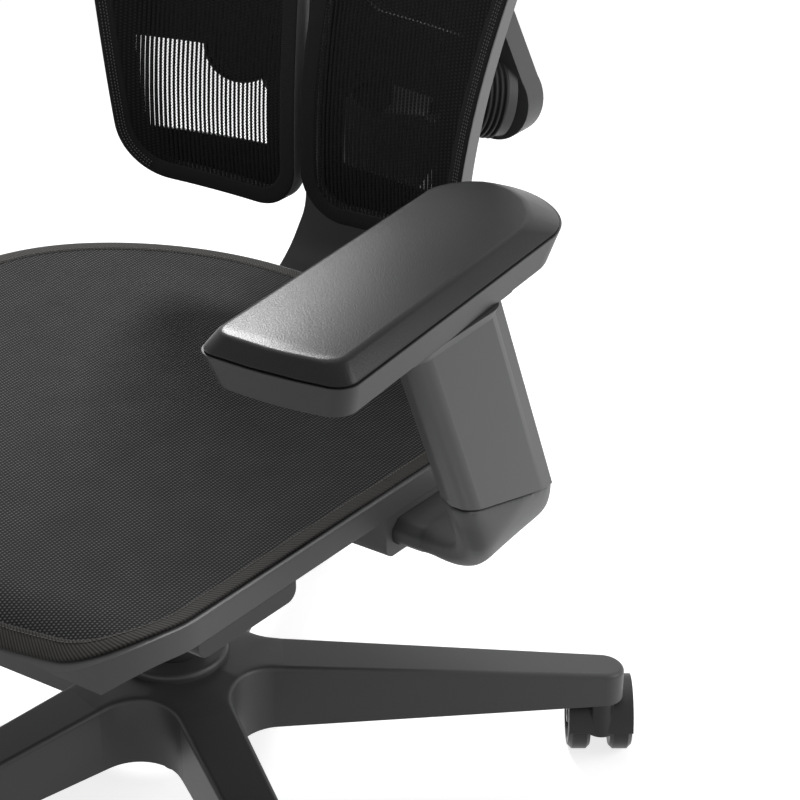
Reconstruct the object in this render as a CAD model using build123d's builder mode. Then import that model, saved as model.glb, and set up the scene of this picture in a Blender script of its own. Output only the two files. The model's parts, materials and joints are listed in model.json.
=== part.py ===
from build123d import *
import os
from math import asin, atan2, cos, degrees, radians, sin, sqrt, tan

# Swivel office chair with a mesh seat and a mesh back in two halves.
# Millimetres, +Z up. The sitter faces -Y, with +X at the left hand.
# Everything is drawn around the column, and written with the origin on the floor under the middle of the chair.

# Clearances
running_gap = 0.05
slide_gap = 0.1
passing_gap = 0.3

# Casters
wheel_diameter = 58.0
wheel_width = 18.0
wheel_spacing = 16.0
wheel_dish = 4.0
axle_diameter = 6.0
caster_trail = 22.0
caster_heading = 124.0
hood_gap = 1.0
hood_wall = 2.5
hood_headroom = 1.5
caster_web = 12.0
stem_diameter = 11.0
stem_length = 22.0
stem_collar_diameter = 24.0

# Star base
leg_count = 5
leg_angle = 39.0
base_radius = 341.0
hub_diameter = 86.0
hub_height = 80.0
leg_root_width = 48.0
leg_tip_width = 33.0
leg_root_height = 64.0
leg_tip_height = 29.0
leg_edge_round = 4.0
leg_wall = 4.5
leg_rib_count = 2
web_reach = 104.0
web_waist = 58.0
web_height = 42.0

# Gas lift
tube_diameter = 50.0
tube_wall = 8.0
tube_height = 262.0
tube_foot_height = 26.0
tube_foot_diameter = 30.0
floor_clearance = 20.0
clip_height = 3.0
bearing_height = 6.0
bush_length = 80.0
bush_flange_height = 3.0
cylinder_diameter = 28.0
cylinder_length = 238.0
cylinder_wall = 3.0
cylinder_cap = 12.0
rod_diameter = 10.0
piston_height = 10.0
lift_travel = 100.0

# Tilt mechanism
housing_width = 136.0
housing_front = 118.0
housing_rear = 92.0
housing_height = 42.0
housing_wall = 5.0
housing_floor = 8.0
housing_clearance = 22.0
cover_height = 3.0
socket_wall = 10.0
socket_drop = 14.0
seat_pivot_y = -92.0
seat_pivot_rise = 32.0
seat_shaft_diameter = 12.0
tilt_pivot_y = 58.0
tilt_pivot_rise = 22.0
tilt_shaft_diameter = 14.0
spring_diameter = 27.0
spring_length = 100.0
knob_diameter = 52.0
knob_height = 34.0
knob_flutes = 12
lever_diameter = 9.0
lever_reach = 150.0
lever_rise = 14.0
lever_paddle_length = 62.0
lever_paddle_width = 34.0
height_lever_y = -58.0
lock_lever_y = -18.0

# Seat
seat_height = 372.0
seat_front_y = -308.0
seat_rear_y = 222.0
seat_front_width = 456.0
seat_rear_width = 496.0
seat_side_end_y = 34.0
seat_side_round = 165.0
seat_rear_round = 209.0
seat_corner_turn = 45.0
seat_front_bow = 8.0
seat_front_round = 70.0
seat_sag = 14.0
seat_lip_start_y = -258.0
seat_lip_radius = 72.0
seat_lip_turn = 46.0
rim_width = 30.0
rim_depth = 19.0
mesh_thickness = 1.5
mesh_inset = 4.0
rail_offset = 102.0
rail_width = 28.0
rail_height = 20.0
rail_drop = 36.0
front_beam_y = -195.0
front_beam_width = 90.0
rear_beam_y = 162.0
rear_beam_width = 44.0
beam_height = 18.0
beam_end_height = 14.0
beam_edge_round = 8.0
arm_mount_front_y = -57.0
arm_mount_rear_y = 31.0
arm_mount_drop = 51.5
arm_mount_inset = 1.0
arm_mount_reach = 62.0
arm_mount_round = 8.0
pivot_ear_diameter = 26.0
pivot_ear_width = 12.0

# Arms
arm_x = 335.0
arm_y = -83.0
arm_joint_height = 415.5
arm_lean = 24.0
arm_joint_slope = 16.0
arm_thickness = 34.0
arm_flat = 60.0
arm_front_edge = 7.0
arm_rear_edge = 17.0
arm_edge_width = 10.0
arm_rear_drop = 4.5
arm_inner_flat = 46.0
arm_travel = 70.0
post_thickness = 18.0
post_width = 52.0
post_length = 102.0
post_root = 18.0
bracket_neck = 12.0
bracket_drop = 88.5
bracket_height = 20.0
bracket_foot_x = 264.0
bracket_foot_y = -12.5
bracket_foot_width = 75.0
bracket_bend_x = 318.0
bracket_bend_y = -40.0
bracket_bend_height = 365.0
bracket_bend_width = 100.0
bracket_bend_thickness = 22.0
bracket_bevel = 6.0
bracket_tab_height = 9.0
screw_head_diameter = 13.0
screw_head_height = 5.0
screw_spacing = 36.0
button_width = 20.0
button_height = 13.0
button_depth = 6.0
button_proud = 2.5
button_travel = 2.0

# Arm pads
pad_x = 314.0
pad_y = -145.5
pad_toe = 4.0
pad_width = 95.0
pad_front_length = 137.0
pad_rear_length = 153.0
pad_corner = 13.0
pad_top_height = 588.5
pad_soft_height = 12.0
pad_shell_height = 20.0
pad_side_bevel = 9.0
pad_front_bevel = 5.0
pad_rear_bevel = 27.0
pad_shell_draft = 6.0
slider_width = 40.0
slider_length = 124.0
slider_height = 8.5
slider_stand = 1.5
pad_travel = 25.0
pivot_pin_diameter = 18.0
pivot_pin_length = 20.0
arm_head_height = 7.0

# Back frame
frame_thickness = 22.0
frame_run_rise = 15.0
frame_bend_start_y = 182.0
frame_bend_radius = 80.0
frame_lean = 3.0
frame_top_height = 700.0
frame_waist_width = 88.0
frame_waist_height = 420.0
frame_waist_round = 60.0
frame_shoulder_width = 214.0
frame_shoulder_height = 622.0
frame_crown_width = 120.0
fork_width = 12.0
fork_gap = 3.0
fork_eye_diameter = 30.0
ear_x = 124.0
ear_height = 525.0
ear_radius = 30.0
ear_neck_round = 24.0
cup_depth = 24.0

# Rubber bush between the frame and each back half
bush_mount_x = 60.0
bush_mount_y = 187.0
bush_mount_height = 545.0
bush_diameter = 48.0
bush_collar_length = 36.0
bush_seat_depth = 4.0
bush_ribs = 3
bush_rib_pitch = 7.5
bush_rib_depth = 4.0
dome_radius = 20.0
pedestal_diameter = 38.0
pedestal_stand = 4.5

# Back halves
back_bottom_height = 430.0
back_top_height = 852.0
back_gap = 5.0
back_gap_height = 500.0
back_gap_top = 100.0
back_bottom_width = 158.0
back_middle_width = 183.0
back_middle_height = 600.0
back_top_width = 224.0
back_widest_height = 740.0
back_bottom_rise = 13.0
back_top_drop = 14.0
back_top_inset = 14.0
back_inner_round = 36.0
back_outer_round = 48.0
back_top_round = 60.0
back_side_round = 100.0
back_curve_radius = 516.0
lumbar_y = 175.0
lumbar_height = 480.0
back_foot_y = 180.0
back_shoulder_y = 215.0
back_shoulder_height = 700.0
back_head_y = 258.0
back_rim_width = 13.0
back_rim_depth = 14.0
back_mesh_inset = 6.0
back_mesh_thickness = 1.2
back_rim_proud = 0.6
back_run_out = 12.0
carrier_thickness = 3.0
carrier_set_back = 10.0
window_inner_x = 36.0
window_bottom = 479.0
window_top = 551.0
upper_window_bottom = 600.0
upper_window_top = 806.0
window_round = 24.0
upper_window_inner_x = 78.0
gusset_x = 78.0
gusset_height = 529.0
gusset_round = 60.0

os.makedirs("parts", exist_ok=True)


# The column stands a little off the middle of the outline, because the casters and pads reach unequally far
wheel_radius = wheel_diameter / 2
hood_radius = wheel_radius + hood_gap + hood_wall
heading = radians(caster_heading)
toe = radians(pad_toe)
rear_stem_y = base_radius * sin(radians(leg_angle + 360 / leg_count))
front_stem_y = base_radius * sin(radians(leg_angle + 3 * 360 / leg_count))
right_stem_x = base_radius * cos(radians(leg_angle + 2 * 360 / leg_count))
caster_reach = hood_radius * abs(cos(heading)) + (wheel_spacing / 2 + wheel_width) * sin(heading)
right_reach = right_stem_x + caster_trail * cos(heading) - caster_reach
pad_swing = (pad_width / 2 - pad_corner) * cos(toe) + (pad_front_length - pad_corner) * sin(toe)
left_reach = pad_x + pad_swing + pad_corner
column_x = -(left_reach + right_reach) / 2
column_y = -(rear_stem_y + front_stem_y) / 2 - caster_trail * sin(heading)


def write(builder, name):
    """Move a finished piece from the column's frame to the chair's, label it and write it under its name."""
    piece = builder.part.moved(Location((column_x, column_y, 0)))
    piece.label = name
    export_step(piece, f"parts/{name}.step")


def write_pair(builder, name):
    """Write a left-hand piece and its mirror image for the right hand."""
    write(builder, f"{name}_left")
    with BuildPart() as twin:
        add(mirror(builder.part, about=Plane.YZ, mode=Mode.PRIVATE))
    write(twin, f"{name}_right")


# Heights and radii that follow from the sizes above
leg_bottom = wheel_radius + hood_radius + hood_headroom
hub_bottom = leg_bottom - 13
hub_top = hub_bottom + hub_height
tube_floor = floor_clearance + tube_foot_height
tube_bore_radius = tube_diameter / 2 - tube_wall
bearing_bottom = tube_floor + cylinder_cap
cylinder_bottom = bearing_bottom + bearing_height
cylinder_top = cylinder_bottom + cylinder_length
cylinder_radius = cylinder_diameter / 2
housing_bottom = tube_height + housing_clearance
housing_top = housing_bottom + housing_height
housing_half = housing_width / 2
seat_pivot_height = housing_bottom + seat_pivot_rise
tilt_pivot_height = housing_bottom + tilt_pivot_rise
rail_top = seat_height - rail_drop
rail_bottom = rail_top - rail_height
rim_bottom = seat_height - rim_depth


# Casters
def caster(number, angle):
    """Make one twin-wheel caster under the tip of the leg at the given angle."""
    heading = radians(caster_heading)
    trail = Vector(cos(heading), sin(heading), 0)
    across = Vector(sin(heading), -cos(heading), 0)
    stem_foot = Vector(base_radius * cos(radians(angle)), base_radius * sin(radians(angle)), 0)
    wheel_centre = stem_foot + trail * caster_trail + Vector(0, 0, wheel_radius)
    side_plane = Plane(origin=wheel_centre, x_dir=trail, z_dir=across)
    section_plane = Plane(origin=wheel_centre, x_dir=across, z_dir=trail * -1)
    stem_plane = Plane(origin=stem_foot, x_dir=trail, z_dir=(0, 0, 1))
    half_width = wheel_spacing / 2 + wheel_width

    with BuildPart() as hood:
        with BuildSketch(side_plane):
            Circle(hood_radius - hood_wall / 2)
            with Locations((0, -hood_radius)):
                Rectangle(3 * hood_radius, 2 * hood_radius, mode=Mode.SUBTRACT)
            Circle(axle_diameter * 1.6)
        extrude(amount=caster_web / 2, both=True)
        with BuildSketch(stem_plane.offset(wheel_radius)):
            Circle(stem_collar_diameter / 2)
        extrude(amount=leg_bottom - wheel_radius - passing_gap, taper=6)
        with BuildSketch(side_plane.offset(caster_web / 2)):
            Circle(wheel_radius + hood_gap)
        extrude(amount=half_width, mode=Mode.SUBTRACT)
        with BuildSketch(side_plane.offset(-caster_web / 2)):
            Circle(wheel_radius + hood_gap)
        extrude(amount=-half_width, mode=Mode.SUBTRACT)
        with BuildSketch(side_plane):
            Circle(hood_radius)
            Circle(wheel_radius + hood_gap, mode=Mode.SUBTRACT)
            with Locations((0, -hood_radius + hood_wall)):
                Rectangle(3 * hood_radius, 2 * hood_radius, mode=Mode.SUBTRACT)
        extrude(amount=half_width, both=True)
        with BuildSketch(stem_plane.offset(leg_bottom - hood_headroom)):
            Circle(stem_diameter / 2)
        extrude(amount=stem_length + hood_headroom)
        with BuildSketch(side_plane):
            Circle(axle_diameter / 2 + running_gap / 2)
        extrude(amount=half_width, both=True, mode=Mode.SUBTRACT)
    write(hood, f"caster_hood_{number}")

    with BuildPart() as axle:
        with BuildSketch(side_plane):
            Circle(axle_diameter / 2)
        extrude(amount=half_width - 1, both=True)
    write(axle, f"caster_axle_{number}")

    inner = wheel_spacing / 2
    with BuildPart() as wheels:
        with BuildSketch(section_plane):
            with BuildLine():
                Polyline(
                    (inner, axle_diameter / 2 + running_gap),
                    (inner, wheel_radius - 3),
                    (inner + 3, wheel_radius),
                    (half_width - 3.5, wheel_radius),
                    (half_width, wheel_radius - 3.5),
                    (half_width, wheel_radius - 8),
                    (half_width - wheel_dish, wheel_radius - 10),
                    (half_width - wheel_dish, axle_diameter * 1.5),
                    (half_width, axle_diameter * 1.2),
                    (half_width, axle_diameter / 2 + running_gap),
                    close=True,
                )
            make_face()
        revolve(axis=Axis(wheel_centre, across))
        mirror(about=side_plane)
    write(wheels, f"caster_wheels_{number}")


for leg_number in range(leg_count):
    caster(leg_number + 1, leg_angle + leg_number * 360 / leg_count)


# Star base
def leg_outline(inset, start, end):
    """Draw the tapering plan of one leg, from start to end along X, drawn in by an inset."""
    slope = (leg_root_width - leg_tip_width) / 2 / base_radius
    half_start = leg_root_width / 2 - slope * start - inset
    half_end = leg_root_width / 2 - slope * end - inset
    with BuildLine() as plan:
        Line((start, -half_start), (end, -half_end))
        ThreePointArc((end, -half_end), (end + half_end, 0), (end, half_end))
        Line((end, half_end), (start, half_start))
        Line((start, half_start), (start, -half_start))
    make_face(plan.edges())


def leg_side(drop, start, end):
    """Draw the sloping side view of one leg, with its top lowered by a drop."""
    slope = (leg_root_height - leg_tip_height) / base_radius
    with BuildLine() as side_view:
        Polyline(
            (start, leg_bottom),
            (end, leg_bottom),
            (end, leg_bottom + leg_root_height - slope * end - drop),
            (start, leg_bottom + leg_root_height - slope * start - drop),
            close=True,
        )
    make_face(side_view.edges())


with BuildPart() as leg_pocket:
    with BuildSketch(Plane.XY.offset(leg_bottom)):
        leg_outline(leg_wall, web_reach, base_radius - leg_tip_width)
    extrude(amount=leg_root_height)
    with BuildSketch(Plane.XZ):
        leg_side(leg_wall, web_reach, base_radius)
    extrude(amount=leg_root_width, both=True, mode=Mode.INTERSECT)
    rib_step = (base_radius - leg_tip_width - web_reach) / (leg_rib_count + 1)
    for rib in range(leg_rib_count):
        with BuildSketch(Plane.YZ.offset(web_reach + rib_step * (rib + 1))):
            with Locations((0, leg_bottom)):
                Rectangle(2 * leg_root_width, 4 * leg_root_height)
        extrude(amount=leg_wall / 2, both=True, mode=Mode.SUBTRACT)

with BuildPart() as leg:
    with BuildSketch(Plane.XY.offset(leg_bottom)):
        leg_outline(0, 0, base_radius)
    extrude(amount=leg_root_height)
    with BuildSketch(Plane.XZ):
        leg_side(0, 0, base_radius + leg_tip_width)
    extrude(amount=leg_root_width, both=True, mode=Mode.INTERSECT)
    top_edges = leg.faces().sort_by(Axis.Z)[-1].edges()
    fillet(top_edges.filter_by(lambda edge: edge.center().X > leg_edge_round), radius=leg_edge_round)
    add(leg_pocket.part, mode=Mode.SUBTRACT)
    with BuildSketch(Plane.XY.offset(leg_bottom)):
        with Locations((base_radius, 0)):
            Circle(stem_diameter / 2 + running_gap)
    extrude(amount=stem_length + 1, mode=Mode.SUBTRACT)

with BuildPart() as star_base:
    with BuildSketch(Plane.XY.offset(leg_bottom)):
        with BuildLine():
            for leg_number in range(leg_count):
                here = radians(leg_angle + leg_number * 360 / leg_count)
                half_step = radians(180 / leg_count)
                spread = asin(leg_root_width / 2 / web_reach) * 0.8
                ThreePointArc(
                    (web_reach * cos(here + spread), web_reach * sin(here + spread)),
                    (web_waist * cos(here + half_step), web_waist * sin(here + half_step)),
                    (web_reach * cos(here + 2 * half_step - spread), web_reach * sin(here + 2 * half_step - spread)),
                )
                Line(
                    (web_reach * cos(here - spread), web_reach * sin(here - spread)),
                    (web_reach * cos(here + spread), web_reach * sin(here + spread)),
                )
        make_face()
    extrude(amount=web_height)
    with PolarLocations(0, leg_count, start_angle=leg_angle):
        add(leg.part)
    with BuildSketch(Plane.XY.offset(hub_bottom)):
        Circle(hub_diameter / 2)
    extrude(amount=hub_height)
    fillet(star_base.edges().filter_by(GeomType.CIRCLE).sort_by(Axis.Z)[-1], radius=leg_edge_round)
    with BuildSketch(Plane.XY.offset(hub_bottom)):
        Circle(tube_diameter / 2 + running_gap)
    extrude(amount=hub_height, mode=Mode.SUBTRACT)
write(star_base, "star_base")

# Gas lift
with BuildPart() as lift_tube:
    with BuildSketch(Plane.XY.offset(tube_floor)):
        Circle(tube_diameter / 2)
    extrude(amount=tube_height - tube_floor)
    with BuildSketch(Plane.XY.offset(floor_clearance)):
        Circle(tube_foot_diameter / 2)
    extrude(amount=tube_foot_height)
    with BuildSketch(Plane.XY.offset(bearing_bottom)):
        Circle(tube_bore_radius)
    extrude(amount=tube_height, mode=Mode.SUBTRACT)
    with BuildSketch(Plane.XY):
        Circle(rod_diameter / 2 + running_gap)
    extrude(amount=tube_height, mode=Mode.SUBTRACT)
    chamfer(lift_tube.edges().filter_by(GeomType.CIRCLE).sort_by(Axis.Z)[1], length=2)
write(lift_tube, "lift_tube")

with BuildPart() as lift_clip:
    with BuildSketch(Plane.XY.offset(floor_clearance - clip_height)):
        Circle(rod_diameter)
        Circle(rod_diameter / 2 + running_gap, mode=Mode.SUBTRACT)
    extrude(amount=clip_height)
write(lift_clip, "lift_clip")

with BuildPart() as thrust_bearing:
    with BuildSketch(Plane.XY.offset(bearing_bottom)):
        Circle(tube_bore_radius - slide_gap)
        Circle(rod_diameter / 2 + passing_gap, mode=Mode.SUBTRACT)
    extrude(amount=bearing_height)
write(thrust_bearing, "thrust_bearing")

with BuildPart() as guide_bush:
    with BuildSketch(Plane.XY.offset(tube_height - bush_length)):
        Circle(tube_bore_radius - running_gap)
    extrude(amount=bush_length)
    with BuildSketch(Plane.XY.offset(tube_height)):
        Circle(tube_diameter / 2)
    extrude(amount=bush_flange_height, taper=20)
    with BuildSketch(Plane.XY.offset(tube_height - bush_length)):
        Circle(cylinder_radius + running_gap)
    extrude(amount=bush_length + bush_flange_height, mode=Mode.SUBTRACT)
write(guide_bush, "guide_bush")

piston_bottom = cylinder_bottom + cylinder_cap + lift_travel + bearing_height
with BuildPart() as lift_rod:
    with BuildSketch(Plane.XY.offset(floor_clearance - clip_height)):
        Circle(rod_diameter / 2)
    extrude(amount=piston_bottom - floor_clearance + clip_height)
    with BuildSketch(Plane.XY.offset(piston_bottom)):
        Circle(cylinder_radius - cylinder_wall - slide_gap)
    extrude(amount=piston_height)
write(lift_rod, "lift_rod")

with BuildPart() as lift_cylinder:
    with BuildSketch(Plane.XY.offset(cylinder_bottom)):
        Circle(cylinder_radius)
    extrude(amount=cylinder_length)
    with BuildSketch(Plane.XY.offset(cylinder_bottom + cylinder_cap)):
        Circle(cylinder_radius - cylinder_wall)
    extrude(amount=cylinder_length - 2 * cylinder_cap, mode=Mode.SUBTRACT)
    with BuildSketch(Plane.XY.offset(cylinder_bottom)):
        Circle(rod_diameter / 2 + running_gap)
    extrude(amount=cylinder_cap, mode=Mode.SUBTRACT)
write(lift_cylinder, "lift_cylinder")

# Tilt mechanism
with BuildPart() as mechanism_housing:
    with BuildSketch(Plane.YZ):
        with BuildLine():
            Polyline(
                (-housing_front, housing_bottom + housing_wall / 2),
                (-housing_front, housing_top),
                (housing_rear, housing_top),
                (housing_rear, housing_bottom + housing_wall / 2),
                (housing_rear - housing_height, housing_bottom),
                (-housing_front + housing_height, housing_bottom),
                close=True,
            )
        make_face()
    extrude(amount=housing_half, both=True)
    upright = mechanism_housing.edges().filter_by(Axis.Z)
    fillet(upright, radius=housing_wall * 2)
    cavity_length = housing_front + housing_rear - 2 * housing_wall
    with BuildSketch(Plane.XY.offset(housing_top)):
        with Locations((0, (housing_rear - housing_front) / 2)):
            RectangleRounded(housing_width - 2 * housing_wall, cavity_length, housing_wall)
    extrude(amount=housing_floor - housing_height, mode=Mode.SUBTRACT)
    with BuildSketch(Plane.XY.offset(housing_bottom - socket_drop)):
        Circle(cylinder_radius + socket_wall)
    extrude(amount=socket_drop + housing_height - housing_wall)
    with BuildSketch(Plane.XY.offset(housing_bottom - socket_drop)):
        Circle(cylinder_radius + running_gap / 2)
    extrude(amount=cylinder_top - housing_bottom + socket_drop + running_gap, mode=Mode.SUBTRACT)
    with BuildSketch(Plane.YZ):
        with Locations((seat_pivot_y, seat_pivot_height)):
            Circle(seat_shaft_diameter / 2 + running_gap / 2)
        with Locations((tilt_pivot_y, tilt_pivot_height)):
            Circle(tilt_shaft_diameter / 2 + running_gap / 2)
    extrude(amount=housing_half, both=True, mode=Mode.SUBTRACT)
    with BuildSketch(Plane.YZ.offset(-housing_half)):
        with Locations((height_lever_y, housing_bottom + lever_rise), (lock_lever_y, housing_bottom + lever_rise)):
            Circle(lever_diameter / 2 + running_gap)
    extrude(amount=housing_wall, mode=Mode.SUBTRACT)
write(mechanism_housing, "mechanism_housing")

with BuildPart() as mechanism_cover:
    with BuildSketch(Plane.XY.offset(housing_top)):
        with Locations((0, (housing_rear - housing_front) / 2)):
            RectangleRounded(housing_width, housing_front + housing_rear, housing_wall * 2)
    extrude(amount=cover_height)
    fillet(mechanism_cover.faces().sort_by(Axis.Z)[-1].edges(), radius=cover_height / 2)
write(mechanism_cover, "mechanism_cover")

seat_shaft_half = rail_offset - rail_width / 2 + pivot_ear_width
with BuildPart() as seat_shaft:
    with BuildSketch(Plane.YZ):
        with Locations((seat_pivot_y, seat_pivot_height)):
            Circle(seat_shaft_diameter / 2)
    extrude(amount=seat_shaft_half, both=True)
write(seat_shaft, "seat_shaft")

with BuildPart() as tilt_shaft:
    with BuildSketch(Plane.YZ):
        with Locations((tilt_pivot_y, tilt_pivot_height)):
            Circle(tilt_shaft_diameter / 2)
    extrude(amount=housing_half + fork_gap + fork_width, both=True)
write(tilt_shaft, "tilt_shaft")

with BuildPart() as torsion_spring:
    with BuildSketch(Plane.YZ):
        with Locations((tilt_pivot_y, tilt_pivot_height)):
            Circle(spring_diameter / 2)
            Circle(tilt_shaft_diameter / 2 + running_gap / 2, mode=Mode.SUBTRACT)
    extrude(amount=spring_length / 2, both=True)
write(torsion_spring, "torsion_spring")

knob_y = -housing_front + housing_height
with BuildPart() as tension_knob:
    with BuildSketch(Plane.XY.offset(housing_bottom - passing_gap)):
        with Locations((0, knob_y)):
            Circle(knob_diameter / 2)
            with PolarLocations(knob_diameter / 2 + 2, knob_flutes):
                Circle(5, mode=Mode.SUBTRACT)
    extrude(amount=-knob_height, taper=4)
write(tension_knob, "tension_knob")


def lever(name, y):
    """Make a lever on the right-hand side: a rod that turns in the housing wall, with a paddle at its end."""
    height = housing_bottom + lever_rise
    root = -housing_half + housing_wall * 2
    with BuildPart() as piece:
        with BuildSketch(Plane.YZ.offset(root)):
            with Locations((y, height)):
                Circle(lever_diameter / 2)
        extrude(amount=-lever_reach)
        with BuildSketch(Plane.XY.offset(height)):
            with Locations((root - lever_reach, y - lever_paddle_width / 4)):
                RectangleRounded(lever_paddle_length, lever_paddle_width, lever_paddle_width * 0.4)
        extrude(amount=lever_diameter * 0.6, both=True, taper=8)
    write(piece, name)


lever("height_lever", height_lever_y)
lever("tilt_lock_lever", lock_lever_y)


# Seat
seat_front_half = seat_front_width / 2
seat_rear_half = seat_rear_width / 2
seat_corner_y = seat_front_y + seat_front_bow
with BuildSketch() as seat_plan:
    with BuildLine():
        ThreePointArc((-seat_front_half, seat_corner_y), (0, seat_front_y), (seat_front_half, seat_corner_y))
        left_side = Line((seat_front_half, seat_corner_y), (seat_rear_half, seat_side_end_y))
        seat_splay = atan2((left_side % 1).X, (left_side % 1).Y)
        left_corner = JernArc(left_side @ 1, left_side % 1, seat_side_round, seat_corner_turn)
        rear_turn = 90 - seat_corner_turn + degrees(seat_splay)
        left_rear = JernArc(left_corner @ 1, left_corner % 1, seat_rear_round, rear_turn)
        Line(left_rear @ 1, (-(left_rear @ 1).X, (left_rear @ 1).Y))
        mirror(left_side, about=Plane.YZ)
        mirror(left_corner, about=Plane.YZ)
        mirror(left_rear, about=Plane.YZ)
    make_face()
    fillet(seat_plan.vertices().group_by(Axis.Y)[0], radius=seat_front_round)

with BuildLine(Plane.YZ) as seat_side:
    deck = Line((seat_rear_y + rim_width, seat_height), (seat_lip_start_y, seat_height))
    JernArc(deck @ 1, deck % 1, seat_lip_radius, seat_lip_turn)


def sag_at(x):
    """Give how far the seat surface hangs below its side edges at a distance from the middle."""
    return seat_sag * (1 - (2 * x / seat_rear_width) ** 2)


def seat_band(top, bottom, mode=Mode.ADD):
    """Sweep a hanging band along the seat's side view, between two depths below the surface."""
    half = seat_rear_width / 2 + rim_width
    with BuildSketch(Plane(origin=deck @ 0, x_dir=(1, 0, 0), z_dir=deck % 0)) as band:
        with BuildLine():
            upper = ThreePointArc((-half, -sag_at(half) - top), (0, -seat_sag - top), (half, -sag_at(half) - top))
            lower = ThreePointArc(
                (-half, -sag_at(half) - bottom), (0, -seat_sag - bottom), (half, -sag_at(half) - bottom)
            )
            Line(upper @ 0, lower @ 0)
            Line(upper @ 1, lower @ 1)
        make_face()
    sweep(sections=band.sketch, path=seat_side.line, mode=mode)


def foot_outline(gap):
    """Draw the bevelled section of the arm bracket's foot, with a gap all round."""
    wide = bracket_foot_width / 2 + gap
    high = bracket_height / 2 + gap
    with BuildLine() as section:
        Polyline(
            (high, -wide + bracket_bevel),
            (high, wide - bracket_bevel),
            (high - bracket_bevel, wide),
            (-high + bracket_bevel, wide),
            (-high, wide - bracket_bevel),
            (-high, -wide + bracket_bevel),
            (-high + bracket_bevel, -wide),
            (high - bracket_bevel, -wide),
            close=True,
        )
    make_face(section.edges())


rim_middle = seat_height - rim_depth / 2 - seat_sag / 3
arm_mount_bottom = seat_height - arm_mount_drop
bracket_bottom = arm_joint_height - bracket_drop
bracket_top = bracket_bottom + bracket_height
foot_plane = Plane(
    origin=(bracket_foot_x, bracket_foot_y, (bracket_bottom + bracket_top) / 2), x_dir=(0, 0, -1), z_dir=(1, 0, 0)
)

with BuildPart() as seat_frame:
    seat_band(mesh_thickness, rim_depth)
    with BuildSketch():
        add(seat_plan.sketch)
        offset(seat_plan.sketch, amount=-rim_width, mode=Mode.SUBTRACT)
    extrude(amount=seat_height + rim_width, mode=Mode.INTERSECT)
    with BuildSketch(Plane.YZ.offset(-seat_rear_width)) as mount_side:
        with BuildLine():
            FilletPolyline(
                (arm_mount_front_y, rim_middle),
                (arm_mount_front_y, arm_mount_bottom),
                (arm_mount_rear_y, arm_mount_bottom),
                (arm_mount_rear_y, rim_middle),
                radius=arm_mount_round,
            )
            Line((arm_mount_rear_y, rim_middle), (arm_mount_front_y, rim_middle))
        make_face()
    with BuildPart(mode=Mode.PRIVATE) as arm_mounts:
        extrude(mount_side.sketch, amount=2 * seat_rear_width)
        with BuildSketch() as mount_plan:
            offset(seat_plan.sketch, amount=-arm_mount_inset)
            offset(seat_plan.sketch, amount=-arm_mount_reach, mode=Mode.SUBTRACT)
        extrude(mount_plan.sketch, amount=seat_height, mode=Mode.INTERSECT)
        with BuildSketch(foot_plane) as foot_hole:
            foot_outline(passing_gap)
        foot_slot = extrude(foot_hole.sketch, amount=-bracket_foot_x, mode=Mode.SUBTRACT)
        mirror(foot_slot, about=Plane.YZ, mode=Mode.SUBTRACT)
    add(arm_mounts.part)
write(seat_frame, "seat_frame")

with BuildPart() as seat_mesh:
    seat_band(0, mesh_thickness)
    with BuildSketch():
        offset(seat_plan.sketch, amount=-mesh_inset)
    extrude(amount=seat_height + rim_width, mode=Mode.INTERSECT)
write(seat_mesh, "seat_mesh")


def beam(y, width):
    """Make a cross-beam whose ends meet the seat rim from below and whose middle hangs at the rails."""
    end = seat_rear_width / 2
    knee = rail_offset + rail_width
    shoulder = knee + rim_width
    with BuildSketch(Plane.XZ.offset(-y)) as section:
        with BuildLine():
            right = Polyline(
                (0, rail_top),
                (knee, rail_top),
                (shoulder, rim_bottom),
                (end, rim_bottom),
                (end, rim_bottom - beam_end_height),
                (shoulder, rim_bottom - beam_end_height),
                (knee, rail_top - beam_height),
                (0, rail_top - beam_height),
            )
            mirror(right, about=Plane.YZ)
        make_face()
    extrude(section.sketch, amount=width / 2, both=True)


with BuildPart() as seat_carrier:
    beam(front_beam_y, front_beam_width)
    beam(rear_beam_y, rear_beam_width)
    with BuildSketch():
        add(seat_plan.sketch)
    extrude(amount=seat_height, mode=Mode.INTERSECT)
    beam_end_edges = seat_carrier.edges().filter_by(Axis.X).filter_by_position(
        Axis.Z, rim_bottom - beam_end_height - 1, rim_bottom - beam_end_height + 1
    )
    fillet(beam_end_edges, radius=beam_edge_round)
    seat_band(-rim_depth, rim_depth + running_gap, mode=Mode.SUBTRACT)
    with BuildSketch(Plane.XY.offset(rail_bottom)):
        with Locations((rail_offset, (front_beam_y + rear_beam_y) / 2), (-rail_offset, (front_beam_y + rear_beam_y) / 2)):
            Rectangle(rail_width, rear_beam_y - front_beam_y)
    extrude(amount=rail_height)
    ear_face = rail_offset - rail_width / 2
    for ear_plane in (Plane.YZ.offset(ear_face), Plane.YZ.offset(-ear_face - pivot_ear_width)):
        with BuildSketch(ear_plane):
            with Locations((seat_pivot_y, seat_pivot_height)):
                Circle(pivot_ear_diameter / 2)
        extrude(amount=pivot_ear_width)
    with BuildSketch(Plane.YZ):
        with Locations((seat_pivot_y, seat_pivot_height)):
            Circle(seat_shaft_diameter / 2 + running_gap)
    extrude(amount=rail_offset + rail_width, both=True, mode=Mode.SUBTRACT)
write(seat_carrier, "seat_carrier")

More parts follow.
